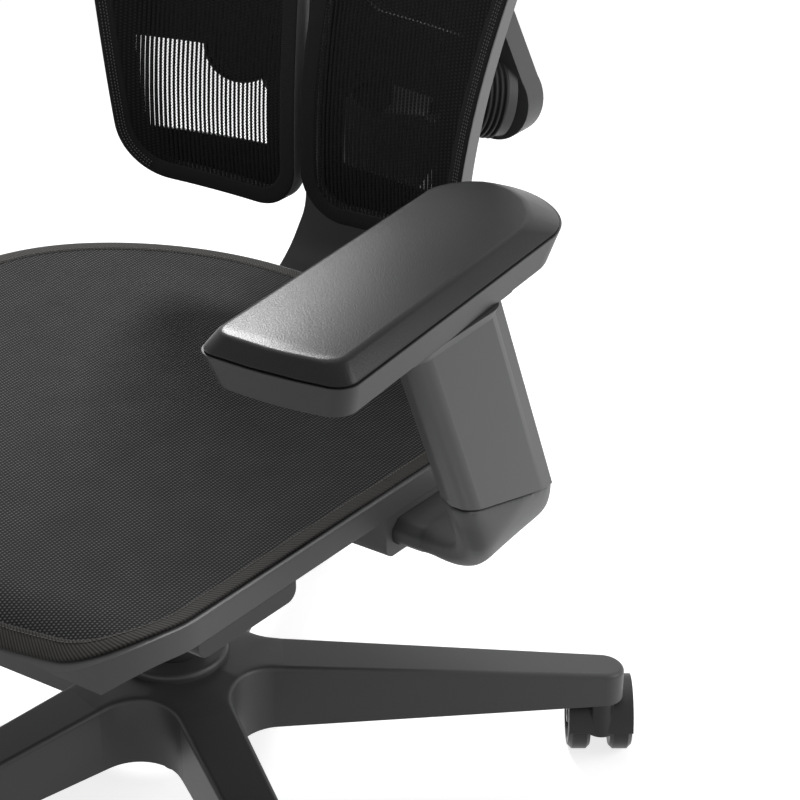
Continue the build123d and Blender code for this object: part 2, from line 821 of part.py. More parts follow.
# Arms: the sleeve leans forward along its own axis
lean = radians(arm_lean)
joint_slope = radians(arm_joint_slope)
arm_axis = Vector(0, -sin(lean), cos(lean))
arm_origin = Vector(arm_x, arm_y, arm_joint_height)
arm_plane = Plane(origin=arm_origin, x_dir=(1, 0, 0), z_dir=arm_axis)
joint_plane = Plane(origin=arm_origin, x_dir=(1, 0, 0), z_dir=(0, sin(joint_slope), cos(joint_slope)))
pad_bottom = pad_top_height - pad_soft_height - pad_shell_height
sleeve_top = pad_bottom - slider_stand
pivot_run = (sleeve_top - arm_joint_height) / cos(lean)
pivot_y = arm_y - pivot_run * sin(lean)
arm_inner = arm_x - arm_thickness / 2


def bend_outline():
    """Draw the bracket's section half way round its bend, with the arm section's corners."""
    wide = bracket_bend_width / 2
    thick = bracket_bend_thickness / 2
    with BuildLine() as section:
        Polyline(
            (thick, -wide + bracket_bevel),
            (thick, wide - bracket_bevel),
            (thick - bracket_bevel, wide),
            (-thick + bracket_bevel, wide),
            (-thick, wide - bracket_bevel),
            (-thick, -wide + bracket_bevel),
            (-thick + bracket_bevel, -wide),
            (thick - bracket_bevel, -wide),
            close=True,
        )
    make_face(section.edges())


def arm_section():
    """Draw the faceted cross-section of the arm."""
    side = arm_thickness / 2
    flat = arm_flat / 2
    inner = arm_inner_flat / 2
    front = flat + arm_front_edge
    rear = flat + arm_rear_edge
    with BuildLine() as facets:
        Polyline(
            (side, -flat),
            (side, flat),
            (side - arm_rear_drop, rear),
            (side - arm_rear_drop - arm_edge_width, rear),
            (-side, inner),
            (-side, -inner),
            (side - arm_rear_drop - arm_edge_width, -front),
            (side - arm_rear_drop, -front),
            close=True,
        )
    make_face(facets.edges())


bend_plane = Plane(
    origin=(bracket_bend_x, bracket_bend_y, bracket_bend_height), x_dir=(1, 0, -1), z_dir=(1, 0, 1)
)
foot_inner_x = rail_offset + rail_width / 2 + passing_gap
with BuildPart() as arm_bracket:
    with BuildSketch(arm_plane.offset(-bracket_neck)):
        arm_section()
    with BuildSketch(bend_plane):
        bend_outline()
    with BuildSketch(foot_plane):
        foot_outline(0)
    loft()
    with BuildSketch(arm_plane.offset(-bracket_neck)):
        arm_section()
    extrude(amount=bracket_drop)
    split(bisect_by=joint_plane.offset(-passing_gap), keep=Keep.BOTTOM)
    with BuildSketch(foot_plane):
        foot_outline(0)
    extrude(amount=foot_inner_x - bracket_foot_x)
    with BuildSketch(Plane.XY.offset(rail_top)):
        with Locations((rail_offset + bracket_tab_height / 2, bracket_foot_y)):
            Rectangle(rail_width + bracket_tab_height, bracket_foot_width - 2 * bracket_bevel)
    extrude(amount=bracket_tab_height)
    with BuildSketch(arm_plane.offset(-post_root)):
        Rectangle(post_thickness + running_gap, post_width + running_gap)
    extrude(amount=post_root + bracket_drop, mode=Mode.SUBTRACT)
write_pair(arm_bracket, "arm_bracket")

with BuildPart() as arm_post:
    with BuildSketch(arm_plane.offset(-post_root)):
        Rectangle(post_thickness, post_width)
    extrude(amount=post_root + post_length)
    fillet(arm_post.faces().sort_by(Axis.Z)[-1].edges(), radius=2)
write_pair(arm_post, "arm_post")

button_height_z = sleeve_top - arm_head_height - button_height
button_y = arm_y - (button_height_z - arm_joint_height) * tan(lean)
button_plane = Plane(origin=(arm_inner, button_y, button_height_z), x_dir=(0, 1, 0), z_dir=(1, 0, 0))
with BuildPart() as arm_sleeve:
    with BuildSketch(arm_plane.offset(-arm_flat)):
        arm_section()
    extrude(amount=2 * arm_flat + pivot_run)
    split(bisect_by=joint_plane, keep=Keep.TOP)
    split(bisect_by=Plane.XY.offset(sleeve_top), keep=Keep.BOTTOM)
    with BuildSketch(Plane.XY.offset(sleeve_top)):
        with Locations((arm_x, pivot_y)):
            SlotCenterToCenter(arm_flat, arm_thickness + 8, rotation=90)
    extrude(amount=-arm_head_height, taper=25)
    with BuildSketch(arm_plane.offset(-arm_flat)):
        Rectangle(post_thickness + 2 * slide_gap, post_width + 2 * slide_gap)
    extrude(amount=arm_flat + post_length + 4, mode=Mode.SUBTRACT)
    with BuildSketch(Plane.XY.offset(sleeve_top)):
        with Locations((arm_x, pivot_y)):
            Circle(pivot_pin_diameter / 2 + running_gap)
    extrude(amount=-pivot_pin_length - passing_gap, mode=Mode.SUBTRACT)
    with BuildSketch(button_plane):
        RectangleRounded(button_width + 2 * slide_gap, button_height + 2 * slide_gap, 4)
    extrude(amount=button_depth - button_proud + button_travel + passing_gap, mode=Mode.SUBTRACT)
write_pair(arm_sleeve, "arm_sleeve")

with BuildPart() as arm_button:
    with BuildSketch(button_plane.offset(-button_proud)):
        RectangleRounded(button_width, button_height, 4 - slide_gap)
    extrude(amount=button_depth)
    fillet(arm_button.faces().sort_by(Axis.X)[0].edges(), radius=1)
write_pair(arm_button, "arm_button")

with BuildPart() as bracket_screws:
    for screw in (-0.5, 0.5):
        with BuildSketch(Plane.XY.offset(rail_top + bracket_tab_height)):
            with Locations((rail_offset, bracket_foot_y + screw * screw_spacing)):
                Circle(screw_head_diameter / 2)
                RegularPolygon(screw_head_diameter / 4, 6, mode=Mode.SUBTRACT)
        extrude(amount=screw_head_height)
write_pair(bracket_screws, "bracket_screws")

# Arm pads
pad_x_dir = (cos(toe), sin(toe), 0)
slider_u = (arm_x - pad_x) * cos(toe) + (pivot_y - pad_y) * sin(toe)
slider_w = -(arm_x - pad_x) * sin(toe) + (pivot_y - pad_y) * cos(toe)


def pad_plane(height):
    """Give the level plane of the pad at a height, turned by the toe angle."""
    return Plane(origin=(pad_x, pad_y, height), x_dir=pad_x_dir, z_dir=(0, 0, 1))


def pad_outline(side_inset, front_inset, rear_inset):
    """Draw the pad's plan: a nearly straight front and a lopsided rounded rear."""
    side = pad_width / 2 - side_inset
    front = pad_front_length - front_inset
    rear = pad_rear_length - rear_inset
    corner = pad_corner
    shoulder = rear - pad_width * 0.62
    tip = -side * 0.25
    with BuildLine() as plan:
        Line((side, -front + corner), (side, shoulder))
        outer_end = Spline((side, shoulder), (tip, rear), tangents=((0, 1), (-1, 0.05)), tangent_scalars=(1.1, 1.0))
        Spline(outer_end @ 1, (-side, shoulder + 28), tangents=((-1, 0.05), (0, -1)), tangent_scalars=(1.0, 1.0))
        Line((-side, shoulder + 28), (-side, -front + corner))
        RadiusArc((-side, -front + corner), (-side + corner, -front), -corner)
        ThreePointArc((-side + corner, -front), (0, -front - 2), (side - corner, -front))
        RadiusArc((side - corner, -front), (side, -front + corner), -corner)
    make_face(plan.edges())


with BuildPart() as pad_shell:
    with BuildSketch(pad_plane(pad_bottom)):
        pad_outline(pad_shell_draft, pad_shell_draft, pad_shell_draft)
    with BuildSketch(pad_plane(pad_bottom + pad_shell_height)):
        pad_outline(0, 0, 0)
    loft(ruled=True)
    with BuildSketch(pad_plane(pad_bottom)):
        with Locations((slider_u, slider_w)):
            Rectangle(slider_width + 2 * slide_gap, slider_length + 2 * pad_travel + 2)
    extrude(amount=slider_height + slide_gap, mode=Mode.SUBTRACT)
write_pair(pad_shell, "pad_shell")

with BuildPart() as pad_top:
    with BuildSketch(pad_plane(pad_top_height - pad_soft_height)):
        pad_outline(0, 0, 0)
    with BuildSketch(pad_plane(pad_top_height)):
        pad_outline(pad_side_bevel, pad_front_bevel, pad_rear_bevel)
    loft(ruled=True)
write_pair(pad_top, "pad_top")

with BuildPart() as pad_slider:
    with BuildSketch(pad_plane(sleeve_top + passing_gap)):
        with Locations((slider_u, slider_w)):
            Rectangle(slider_width, slider_length)
    extrude(amount=slider_stand - passing_gap + slider_height)
    fillet(pad_slider.edges().filter_by(Axis.Z), radius=6)
    with BuildSketch(Plane.XY.offset(sleeve_top + passing_gap)):
        with Locations((arm_x, pivot_y)):
            Circle(pivot_pin_diameter / 2)
    extrude(amount=-pivot_pin_length)
write_pair(pad_slider, "pad_slider")

# Back frame: a J in side view, cut to its front outline, with an ear and a cup for each bush
frame_run_height = housing_bottom + frame_run_rise
frame_lean_turn = 90 - frame_lean
with BuildLine(Plane.YZ) as frame_side:
    run = Line((tilt_pivot_y, frame_run_height), (frame_bend_start_y, frame_run_height))
    bend = JernArc(run @ 1, run % 1, frame_bend_radius, frame_lean_turn)
    rise = frame_top_height - frame_run_height - frame_bend_radius
    Line(bend @ 1, bend @ 1 + (bend % 1) * rise)

frame_front_y = frame_bend_start_y + frame_bend_radius + (ear_height - frame_run_height - frame_bend_radius) * tan(
    radians(frame_lean)
)
bush_start = Vector(ear_x, frame_front_y, ear_height)
bush_end = Vector(bush_mount_x, bush_mount_y, bush_mount_height)
bush_axis = (bush_end - bush_start).normalized()
bush_span = (bush_end - bush_start).length
bush_plane = Plane(origin=bush_start, x_dir=(0, 0, 1), z_dir=bush_axis)
bush_front = bush_collar_length + bush_ribs * bush_rib_pitch
dome_centre = bush_front - dome_radius * 0.4
pedestal_start = bush_front + pedestal_stand

slot = housing_half + fork_gap
fork_outer = slot + fork_width
frame_waist = (frame_waist_width / 2, frame_waist_height)
ear_root = (ear_x - ear_radius * 0.8, ear_height - ear_radius * 0.7)
with BuildPart() as back_frame:
    with BuildSketch(Plane(origin=run @ 0, x_dir=(1, 0, 0), z_dir=run % 0)):
        Rectangle(3 * ear_x, frame_thickness)
    sweep(path=frame_side.line)
    with BuildSketch(Plane.XZ) as frame_outline:
        with BuildLine():
            outline = Polyline(
                (0, frame_run_height - frame_thickness),
                (fork_outer, frame_run_height - frame_thickness),
                (fork_outer, frame_run_height + frame_thickness),
                frame_waist,
                ear_root,
                (ear_x + ear_radius * 0.9, ear_height + ear_radius * 0.4),
                (frame_shoulder_width / 2, frame_shoulder_height),
                (frame_crown_width / 2, frame_top_height),
                (0, frame_top_height),
            )
            mirror(outline, about=Plane.YZ)
        make_face()
        for side in (1, -1):
            for corner, round_off in ((frame_waist, frame_waist_round), (ear_root, ear_neck_round)):
                fillet(frame_outline.vertices().sort_by_distance((side * corner[0], corner[1]))[0], radius=round_off)
        with Locations((ear_x, ear_height), (-ear_x, ear_height)):
            Circle(ear_radius)
    extrude(amount=-2 * frame_bend_start_y, mode=Mode.INTERSECT)
    for side in (1, -1):
        cup_origin = Vector(side * bush_start.X, bush_start.Y, bush_start.Z)
        cup_axis = Vector(side * bush_axis.X, bush_axis.Y, bush_axis.Z)
        with BuildSketch(Plane(origin=cup_origin, x_dir=(0, 0, 1), z_dir=cup_axis)):
            Circle(ear_radius)
        extrude(amount=cup_depth)
        with BuildSketch(Plane(origin=cup_origin + cup_axis * bush_seat_depth, x_dir=(0, 0, 1), z_dir=cup_axis)):
            Circle(bush_diameter / 2 + running_gap)
        extrude(amount=bush_front, mode=Mode.SUBTRACT)
    with BuildSketch(Plane.XY):
        Rectangle(2 * slot, 2 * (housing_rear + 12))
    extrude(amount=2 * housing_top, mode=Mode.SUBTRACT)
    fork_end = frame_bend_start_y - 30
    with BuildSketch(Plane.XY):
        for side in (1, -1):
            with Locations((side * (fork_outer + ear_x), 0)):
                Rectangle(2 * ear_x, 2 * fork_end)
    extrude(amount=2 * housing_top, mode=Mode.SUBTRACT)
    for side in (1, -1):
        with BuildSketch(Plane.YZ.offset(side * slot)):
            with Locations((tilt_pivot_y, tilt_pivot_height)):
                Circle(fork_eye_diameter / 2)
        extrude(amount=side * fork_width)
    with BuildSketch(Plane.YZ):
        with Locations((tilt_pivot_y, tilt_pivot_height)):
            Circle(tilt_shaft_diameter / 2 + running_gap)
    extrude(amount=fork_outer + fork_width, both=True, mode=Mode.SUBTRACT)
write(back_frame, "back_frame")

bush_radius = bush_diameter / 2
bush_points = [(0, bush_seat_depth), (bush_radius, bush_seat_depth), (bush_radius, bush_collar_length)]
for rib in range(bush_ribs):
    foot = bush_collar_length + rib * bush_rib_pitch
    bush_points.append((bush_radius - bush_rib_depth, foot + 0.2 * bush_rib_pitch))
    bush_points.append((bush_radius - 1, foot + 0.45 * bush_rib_pitch))
    bush_points.append((bush_radius - 1, foot + 0.8 * bush_rib_pitch))
dome_foot = sqrt(dome_radius**2 - (bush_front - dome_centre) ** 2)
dome_tip = dome_centre + dome_radius
bush_points.append((dome_foot, bush_front))
bush_across = Vector(0, 0, 1).cross(bush_axis).normalized()
bush_half_plane = Plane(origin=bush_start, x_dir=bush_across, z_dir=bush_across.cross(bush_axis))
dome_chord = dome_radius * sqrt(0.5)
with BuildPart() as back_bush:
    with BuildSketch(bush_half_plane):
        with BuildLine():
            Polyline(*bush_points)
            ThreePointArc((dome_foot, bush_front), (dome_chord, dome_centre + dome_chord), (0, dome_tip))
            Line((0, dome_tip), (0, bush_seat_depth))
        make_face()
    revolve(axis=Axis(bush_start, bush_axis))
write_pair(back_bush, "back_bush")

# Back halves: one curved band in plan, swept up the side view and cut to the half's outline
back_gap_radius = (back_top_height - back_gap_height) ** 2 / (back_gap_top - back_gap)
inner_foot = (back_gap / 2 + (back_gap_height - back_bottom_height) ** 2 / (2 * back_gap_radius), back_bottom_height)
inner_head = (back_gap_top / 2, back_top_height)
outer_foot = (back_bottom_width, back_bottom_height + back_bottom_rise)
outer_head = (back_top_width - back_top_inset, back_top_height - back_top_drop)
outer_widest = (back_top_width, back_widest_height)
with BuildSketch(Plane.XZ) as back_plan:
    with BuildLine():
        ThreePointArc(inner_foot, (back_gap / 2, back_gap_height), inner_head)
        Line(inner_head, outer_head)
        Line(outer_head, outer_widest)
        ThreePointArc(outer_widest, (back_middle_width, back_middle_height), outer_foot)
        Line(outer_foot, inner_foot)
    make_face()
    for corner, round_off in (
        (inner_foot, back_inner_round),
        (inner_head, back_inner_round),
        (outer_head, back_top_round),
        (outer_widest, back_side_round),
        (outer_foot, back_outer_round),
    ):
        fillet(back_plan.vertices().sort_by_distance(corner)[0], radius=round_off)

with BuildLine(Plane.YZ) as back_side:
    back_line = Spline(
        (back_foot_y, back_bottom_height - back_run_out),
        (lumbar_y, lumbar_height),
        (back_shoulder_y, back_shoulder_height),
        (back_head_y, back_top_height + back_run_out),
    )


def back_band(front, rear, mode=Mode.ADD):
    """Sweep a band that curves in plan up the side view, between two depths behind the mesh face."""
    half = back_top_width + back_run_out
    forward = half**2 / (2 * back_curve_radius)
    with BuildSketch(Plane(origin=back_line @ 0, x_dir=(1, 0, 0), z_dir=back_line % 0)) as band:
        with BuildLine():
            near = ThreePointArc((-half, front - forward), (0, front), (half, front - forward))
            far = ThreePointArc((-half, rear - forward), (0, rear), (half, rear - forward))
            Line(near @ 0, far @ 0)
            Line(near @ 1, far @ 1)
        make_face()
    sweep(sections=band.sketch, path=back_side.line, mode=mode)


with BuildPart() as mesh_rebate:
    back_band(-back_rim_depth, back_mesh_thickness)
    with BuildSketch(Plane.XZ):
        offset(back_plan.sketch, amount=-back_mesh_inset)
    extrude(amount=-2 * back_head_y, mode=Mode.INTERSECT)

with BuildPart() as back_rim:
    back_band(-back_rim_proud, back_rim_depth)
    with BuildSketch(Plane.XZ):
        add(back_plan.sketch)
        offset(back_plan.sketch, amount=-back_rim_width, mode=Mode.SUBTRACT)
    extrude(amount=-2 * back_head_y, mode=Mode.INTERSECT)
    add(mesh_rebate.part, mode=Mode.SUBTRACT)
write_pair(back_rim, "back_rim")

with BuildPart() as back_mesh:
    back_band(0, back_mesh_thickness - running_gap / 2)
    with BuildSketch(Plane.XZ):
        offset(back_plan.sketch, amount=-back_mesh_inset - running_gap)
    extrude(amount=-2 * back_head_y, mode=Mode.INTERSECT)
write_pair(back_mesh, "back_mesh")

# The carrier fills the rim behind the mesh, with two windows, and a pedestal cups the bush's dome
with BuildPart() as carrier_panel:
    back_band(carrier_set_back, carrier_set_back + carrier_thickness)
    with BuildSketch(Plane.XZ):
        offset(back_plan.sketch, amount=-back_rim_width - running_gap)
        with BuildSketch(mode=Mode.SUBTRACT) as lower_window:
            with BuildLine():
                Polyline(
                    (gusset_x, window_top),
                    (back_top_width, window_top),
                    (back_top_width, window_bottom),
                    (window_inner_x, window_bottom),
                    (window_inner_x, gusset_height),
                )
                RadiusArc((window_inner_x, gusset_height), (gusset_x, window_top), gusset_round)
            make_face()
        with BuildSketch(mode=Mode.SUBTRACT) as upper_window:
            with BuildLine():
                Polyline(
                    (window_inner_x, upper_window_bottom),
                    (back_top_width, upper_window_bottom),
                    (back_top_width, upper_window_top),
                    (upper_window_inner_x, upper_window_top),
                    close=True,
                )
            make_face()
            fillet(upper_window.vertices().group_by(Axis.X)[:2], radius=window_round)
    extrude(amount=-2 * back_head_y, mode=Mode.INTERSECT)

with BuildPart() as back_carrier:
    with BuildSketch(bush_plane.offset(pedestal_start)):
        Circle(pedestal_diameter / 2)
    extrude(amount=bush_span - pedestal_start + pedestal_diameter / 2)
    back_band(-2 * bush_span, carrier_set_back + carrier_thickness / 2, mode=Mode.SUBTRACT)
    with BuildSketch(bush_half_plane):
        with BuildLine():
            socket = ThreePointArc(
                (0, dome_centre - dome_radius - slide_gap),
                (dome_radius + slide_gap, dome_centre),
                (0, dome_centre + dome_radius + slide_gap),
            )
            Line(socket @ 1, socket @ 0)
        make_face()
    revolve(axis=Axis(bush_start, bush_axis), mode=Mode.SUBTRACT)
    add(carrier_panel.part)
write_pair(back_carrier, "back_carrier")
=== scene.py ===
"""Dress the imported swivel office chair: stretched cloth, soft pads, moulded skins and finishes."""

from __future__ import annotations

import json
import logging
import math
from collections.abc import Callable, Iterator
from contextlib import contextmanager
from dataclasses import dataclass, replace
from enum import Enum

import bmesh
import bpy
import numpy as np
from bpy.types import Material, Mesh, Node, NodeSocket, NodeTree, Object
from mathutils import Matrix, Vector
from mathutils.bvhtree import BVHTree

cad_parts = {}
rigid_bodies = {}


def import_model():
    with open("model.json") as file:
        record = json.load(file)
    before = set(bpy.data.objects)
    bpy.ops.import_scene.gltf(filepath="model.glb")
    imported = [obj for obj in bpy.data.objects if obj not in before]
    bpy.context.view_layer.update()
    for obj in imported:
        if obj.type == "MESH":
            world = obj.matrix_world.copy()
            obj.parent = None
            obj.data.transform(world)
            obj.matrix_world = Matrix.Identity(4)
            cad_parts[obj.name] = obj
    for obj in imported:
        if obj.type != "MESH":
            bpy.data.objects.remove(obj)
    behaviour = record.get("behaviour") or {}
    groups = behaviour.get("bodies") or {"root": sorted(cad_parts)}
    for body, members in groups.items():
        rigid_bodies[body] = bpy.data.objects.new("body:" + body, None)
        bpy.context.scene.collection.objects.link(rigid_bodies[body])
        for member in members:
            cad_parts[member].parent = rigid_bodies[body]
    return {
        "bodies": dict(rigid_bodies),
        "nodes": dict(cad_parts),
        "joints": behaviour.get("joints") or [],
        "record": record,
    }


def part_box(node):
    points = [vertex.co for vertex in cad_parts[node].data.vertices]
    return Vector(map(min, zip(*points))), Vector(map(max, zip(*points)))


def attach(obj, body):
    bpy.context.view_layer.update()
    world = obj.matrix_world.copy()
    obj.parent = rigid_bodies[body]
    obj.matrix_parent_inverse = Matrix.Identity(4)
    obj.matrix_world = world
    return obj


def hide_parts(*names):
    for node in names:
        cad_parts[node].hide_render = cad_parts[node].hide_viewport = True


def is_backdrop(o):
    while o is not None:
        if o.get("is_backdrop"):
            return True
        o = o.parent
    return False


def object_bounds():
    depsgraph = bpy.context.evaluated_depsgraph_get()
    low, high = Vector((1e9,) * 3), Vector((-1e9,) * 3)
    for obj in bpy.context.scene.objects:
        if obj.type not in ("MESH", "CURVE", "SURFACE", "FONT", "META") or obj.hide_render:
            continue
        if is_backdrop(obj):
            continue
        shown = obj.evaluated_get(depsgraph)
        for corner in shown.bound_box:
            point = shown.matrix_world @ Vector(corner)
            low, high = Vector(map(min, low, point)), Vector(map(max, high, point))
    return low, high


LOG = logging.getLogger("office_chair")
MM = 0.001
WELD = 0.01 * MM
CHART = "weave"
WHITE = (1.0, 1.0, 1.0, 1.0)
Triple = tuple[float, float, float]
Source = Node | NodeSocket


class Side(Enum):
    """The two hands of the chair, seen by the sitter."""

    LEFT = "left"
    RIGHT = "right"

    @property
    def sign(self) -> float:
        """Give +1 on the left hand, where X is positive, and -1 on the right."""
        return 1.0 if self is Side.LEFT else -1.0


def outward_of(steps: np.ndarray) -> np.ndarray:
    """Turn steps along an anticlockwise loop into unit vectors that point out of it."""
    return np.column_stack([steps[:, 1], -steps[:, 0]]) / np.linalg.norm(steps, axis=1)[:, None]


def add_object(name: str, data: bpy.types.ID) -> Object:
    """Make an object and put it in the scene.

    Args:
        name: The object's name.
        data: Its mesh, light or camera.

    Returns:
        The object.
    """
    made = bpy.data.objects.new(name, data)
    bpy.context.scene.collection.objects.link(made)
    return made


def take_result(guide: Object) -> Mesh:
    """Take the mesh that an object's modifiers make, and remove the object.

    Args:
        guide: The object.

    Returns:
        The mesh.
    """
    seen = guide.evaluated_get(bpy.context.evaluated_depsgraph_get())
    mesh = bpy.data.meshes.new_from_object(seen)
    bpy.data.objects.remove(guide)
    return mesh


@contextmanager
def editing(mesh: Mesh) -> Iterator[bmesh.types.BMesh]:
    """Open a mesh for editing, and write the result back to it.

    Args:
        mesh: The mesh.

    Yields:
        The form to edit.
    """
    form = bmesh.new()
    form.from_mesh(mesh)
    yield form
    form.to_mesh(mesh)
    form.free()


def face_outward(mesh: Mesh) -> None:
    """Turn every face of a closed mesh outward."""
    with editing(mesh) as form:
        bmesh.ops.recalc_face_normals(form, faces=form.faces)


def smooth(mesh: Mesh) -> None:
    """Shade every face of a mesh smooth."""
    mesh.polygons.foreach_set("use_smooth", [True] * len(mesh.polygons))


def grid_mesh(name: str, points: np.ndarray, chart: np.ndarray, closed: bool) -> Mesh:
    """Turn rows of points into a smooth mesh with a UV map.

    Args:
        name: The mesh's name.
        points: Rows and columns of places.
        chart: Rows and columns of UV values.
        closed: Whether the rows and the columns both join up into a ring.

    Returns:
        The mesh.
    """
    rows, columns = points.shape[:2]
    faces, corners = [], []
    for i in range(rows if closed else rows - 1):
        for j in range(columns if closed else columns - 1):
            ways = ((i, j), (i, j + 1), (i + 1, j + 1), (i + 1, j))
            faces.append([(a % rows) * columns + b % columns for a, b in ways])
            corners.extend(chart[a % rows, b % columns] for a, b in ways)
    mesh = bpy.data.meshes.new(name)
    mesh.from_pydata([tuple(p) for p in points.reshape(-1, 3)], [], faces)
    layer = mesh.uv_layers.new(name=CHART)
    layer.data.foreach_set("uv", np.array(corners).ravel())
    smooth(mesh)
    mesh.update()
    return mesh


@dataclass
class Wiring:
    """A node tree while it is being wired, where a node stands for its first output."""

    tree: NodeTree

    def add(self, kind: str, **values: object) -> Node:
        """Add a node, set its properties and feed its inputs.

        Args:
            kind: The node's type name.
            values: Properties in lower case, and inputs with a capital and underscores for spaces.

        Returns:
            The new node.
        """
        node = self.tree.nodes.new(kind)
        for key, value in values.items():
            if key[0].islower():
                setattr(node, key, value)
            else:
                self.put(node.inputs[key.replace("_", " ")], value)
        return node

    def put(self, target: NodeSocket, value: object) -> None:
        """Link a node or a socket to an input, or write a plain value to it.

        Args:
            target: The input.
            value: What goes in.
        """
        source = value.outputs[0] if isinstance(value, Node) else value
        if isinstance(source, NodeSocket):
            self.tree.links.new(source, target)
        else:
            target.default_value = source


class Bench(Wiring):
    """The node tree of a new material, or of a new world."""

    def __init__(self, name: str, world: bool = False) -> None:
        """Start an empty tree with one output.

        Args:
            name: The material's or the world's name.
            world: Whether it is a world.
        """
        self.made = (bpy.data.worlds if world else bpy.data.materials).new(name)
        self.made.use_nodes = True
        super().__init__(self.made.node_tree)
        self.tree.nodes.clear()
        output = self.add("ShaderNodeOutputWorld" if world else "ShaderNodeOutputMaterial")
        self.output = output.inputs["Surface"]

    def maths(self, operation: str, *values: object) -> Node:
        """Add a Math node.

        Args:
            operation: The operation's name.
            values: Up to three numbers or sources.

        Returns:
            The node.
        """
        node = self.add("ShaderNodeMath", operation=operation)
        for target, value in zip(node.inputs, values):
            self.put(target, value)
        return node

    def weigh(self, first: Source, share: float, second: Source, other: float) -> Node:
        """Add up two values by their shares."""
        parts = [self.maths("MULTIPLY", *pair) for pair in ((first, share), (second, other))]
        return self.maths("ADD", *parts)

    def ripple(self, value: Source) -> Node:
        """Turn a steady rise into a wave from 0 to 1 and back in each step of 1."""
        return self.maths("MULTIPLY", self.maths("PINGPONG", value, 0.5), 2.0)

    def spread(self, value: Source, low: float, high: float) -> Node:
        """Map a value between 0 and 1 to the range from low to high."""
        return self.add("ShaderNodeMapRange", Value=value, To_Min=low, To_Max=high)

    def blend(self, factor: Source, first: Triple, second: Triple) -> NodeSocket:
        """Mix two colours.

        Args:
            factor: The mix factor.
            first: The colour at 0.
            second: The colour at 1.

        Returns:
            The mixed colour's socket.
        """
        node = self.add("ShaderNodeMix", data_type="RGBA", Factor=factor)
        slots = [socket for socket in node.inputs if socket.type == "RGBA"]
        for target, colour in zip(slots, (first, second)):
            target.default_value = (*colour, 1.0)
        return next(socket for socket in node.outputs if socket.type == "RGBA")

    def tint(self, factor: Source, colour: Triple, dark: float, light: float = 1.0) -> NodeSocket:
        """Mix a dark and a light shade of one colour."""
        shades = [tuple(share * value for value in colour) for share in (dark, light)]
        return self.blend(factor, *shades)

    def noise(self, where: Source, scale: float, detail: float) -> Node:
        """Add a noise texture with so many cells per metre and so many octaves."""
        return self.add("ShaderNodeTexNoise", Vector=where, Scale=scale, Detail=detail)

    def place(self) -> NodeSocket:
        """Give the Object coordinates' socket."""
        return self.add("ShaderNodeTexCoord").outputs["Object"]

    def chart(self) -> tuple[Node, NodeSocket, NodeSocket]:
        """Give the cloth's UV map, in metres, and the sockets of its U and V."""
        chart = self.add("ShaderNodeUVMap", uv_map=CHART)
        parts = self.add("ShaderNodeSeparateXYZ", Vector=chart)
        return chart, parts.outputs[0], parts.outputs[1]

    def bump(self, height: Source, depth: float, strength: float, edge: float = 0.0) -> Node:
        """Add a bump, over softly rounded edges where asked.

        Args:
            height: The height, 0 to 1.
            depth: The height of 1, in metres.
            strength: The bump's strength.
            edge: The rounding of sharp edges, in metres.

        Returns:
            The node.
        """
        node = self.add("ShaderNodeBump", Height=height, Distance=depth, Strength=strength)
        if edge > 0:
            self.put(node.inputs["Normal"], self.add("ShaderNodeBevel", samples=4, Radius=edge))
        return node

    def finish(self, **values: object) -> Material:
        """Add the principled shader with these inputs, and give the material."""
        self.put(self.output, self.add("ShaderNodeBsdfPrincipled", **values))
        return self.made

    def seen(self) -> Node:
        """Give 1 for rays from the camera and off shiny or clear surfaces, and 0 for the rest."""
        rays = self.add("ShaderNodeLightPath").outputs
        off = self.maths("MAXIMUM", rays["Is Glossy Ray"], rays["Is Transmission Ray"])
        return self.maths("MAXIMUM", rays["Is Camera Ray"], off)


@dataclass(frozen=True)
class MouldedPlastic:
    """Moulded plastic with a fine spark-eroded grain and faint flow marks."""

    name: str
    colour: Triple
    roughness: float
    gloss: float = 0.35
    grain: float = 0.7 * MM
    depth: float = 0.05 * MM
    lacquer: float = 0.0
    lacquer_roughness: float = 0.12
    edge: float = 0.8 * MM
    flow_scale: float = 14.0
    dark: float = 0.8
    light: float = 1.22
    swing: float = 0.07
    relief: float = 0.6

    def material(self) -> Material:
        """Make the material."""
        bench = Bench(self.name)
        where = bench.place()
        grain = bench.noise(where, 1.0 / self.grain, detail=2.0)
        flow = bench.noise(where, self.flow_scale, detail=4.0)
        tone = bench.weigh(grain, 0.5, flow, 0.5)
        return bench.finish(
            Base_Color=bench.tint(tone, self.colour, self.dark, self.light),
            Roughness=bench.spread(tone, self.roughness - self.swing, self.roughness + self.swing),
            Normal=bench.bump(grain, self.depth, self.relief, self.edge),
            Specular_IOR_Level=self.gloss,
            Coat_Weight=self.lacquer,
            Coat_Roughness=self.lacquer_roughness,
        )


@dataclass(frozen=True)
class GrainedSkin:
    """Soft foamed skin with a pebbled leather grain."""

    name: str
    colour: Triple
    roughness: float
    gloss: float
    depth: float
    pebble: float = 1.0 * MM
    wander_scale: float = 420.0
    wear_scale: float = 9.0
    dark: float = 0.7
    light: float = 1.3
    contrast: float = 0.9
    swing: float = 0.05
    relief: float = 0.7

    def material(self) -> Material:
        """Make the material."""
        bench = Bench(self.name)
        where = bench.place()
        wander = bench.noise(where, self.wander_scale, detail=2.0)
        cells = bench.add("ShaderNodeTexVoronoi", Vector=where, Scale=1.0 / self.pebble)
        pebble = bench.maths("SUBTRACT", 1.0, cells)
        height = bench.weigh(pebble, 0.8, wander, 0.3)
        tone = bench.maths("MULTIPLY", height, self.contrast)
        worn = bench.noise(where, self.wear_scale, detail=3.0)
        return bench.finish(
            Base_Color=bench.tint(tone, self.colour, self.dark, self.light),
            Roughness=bench.spread(worn, self.roughness - self.swing, self.roughness + self.swing),
            Normal=bench.bump(height, self.depth, self.relief),
            Specular_IOR_Level=self.gloss,
        )


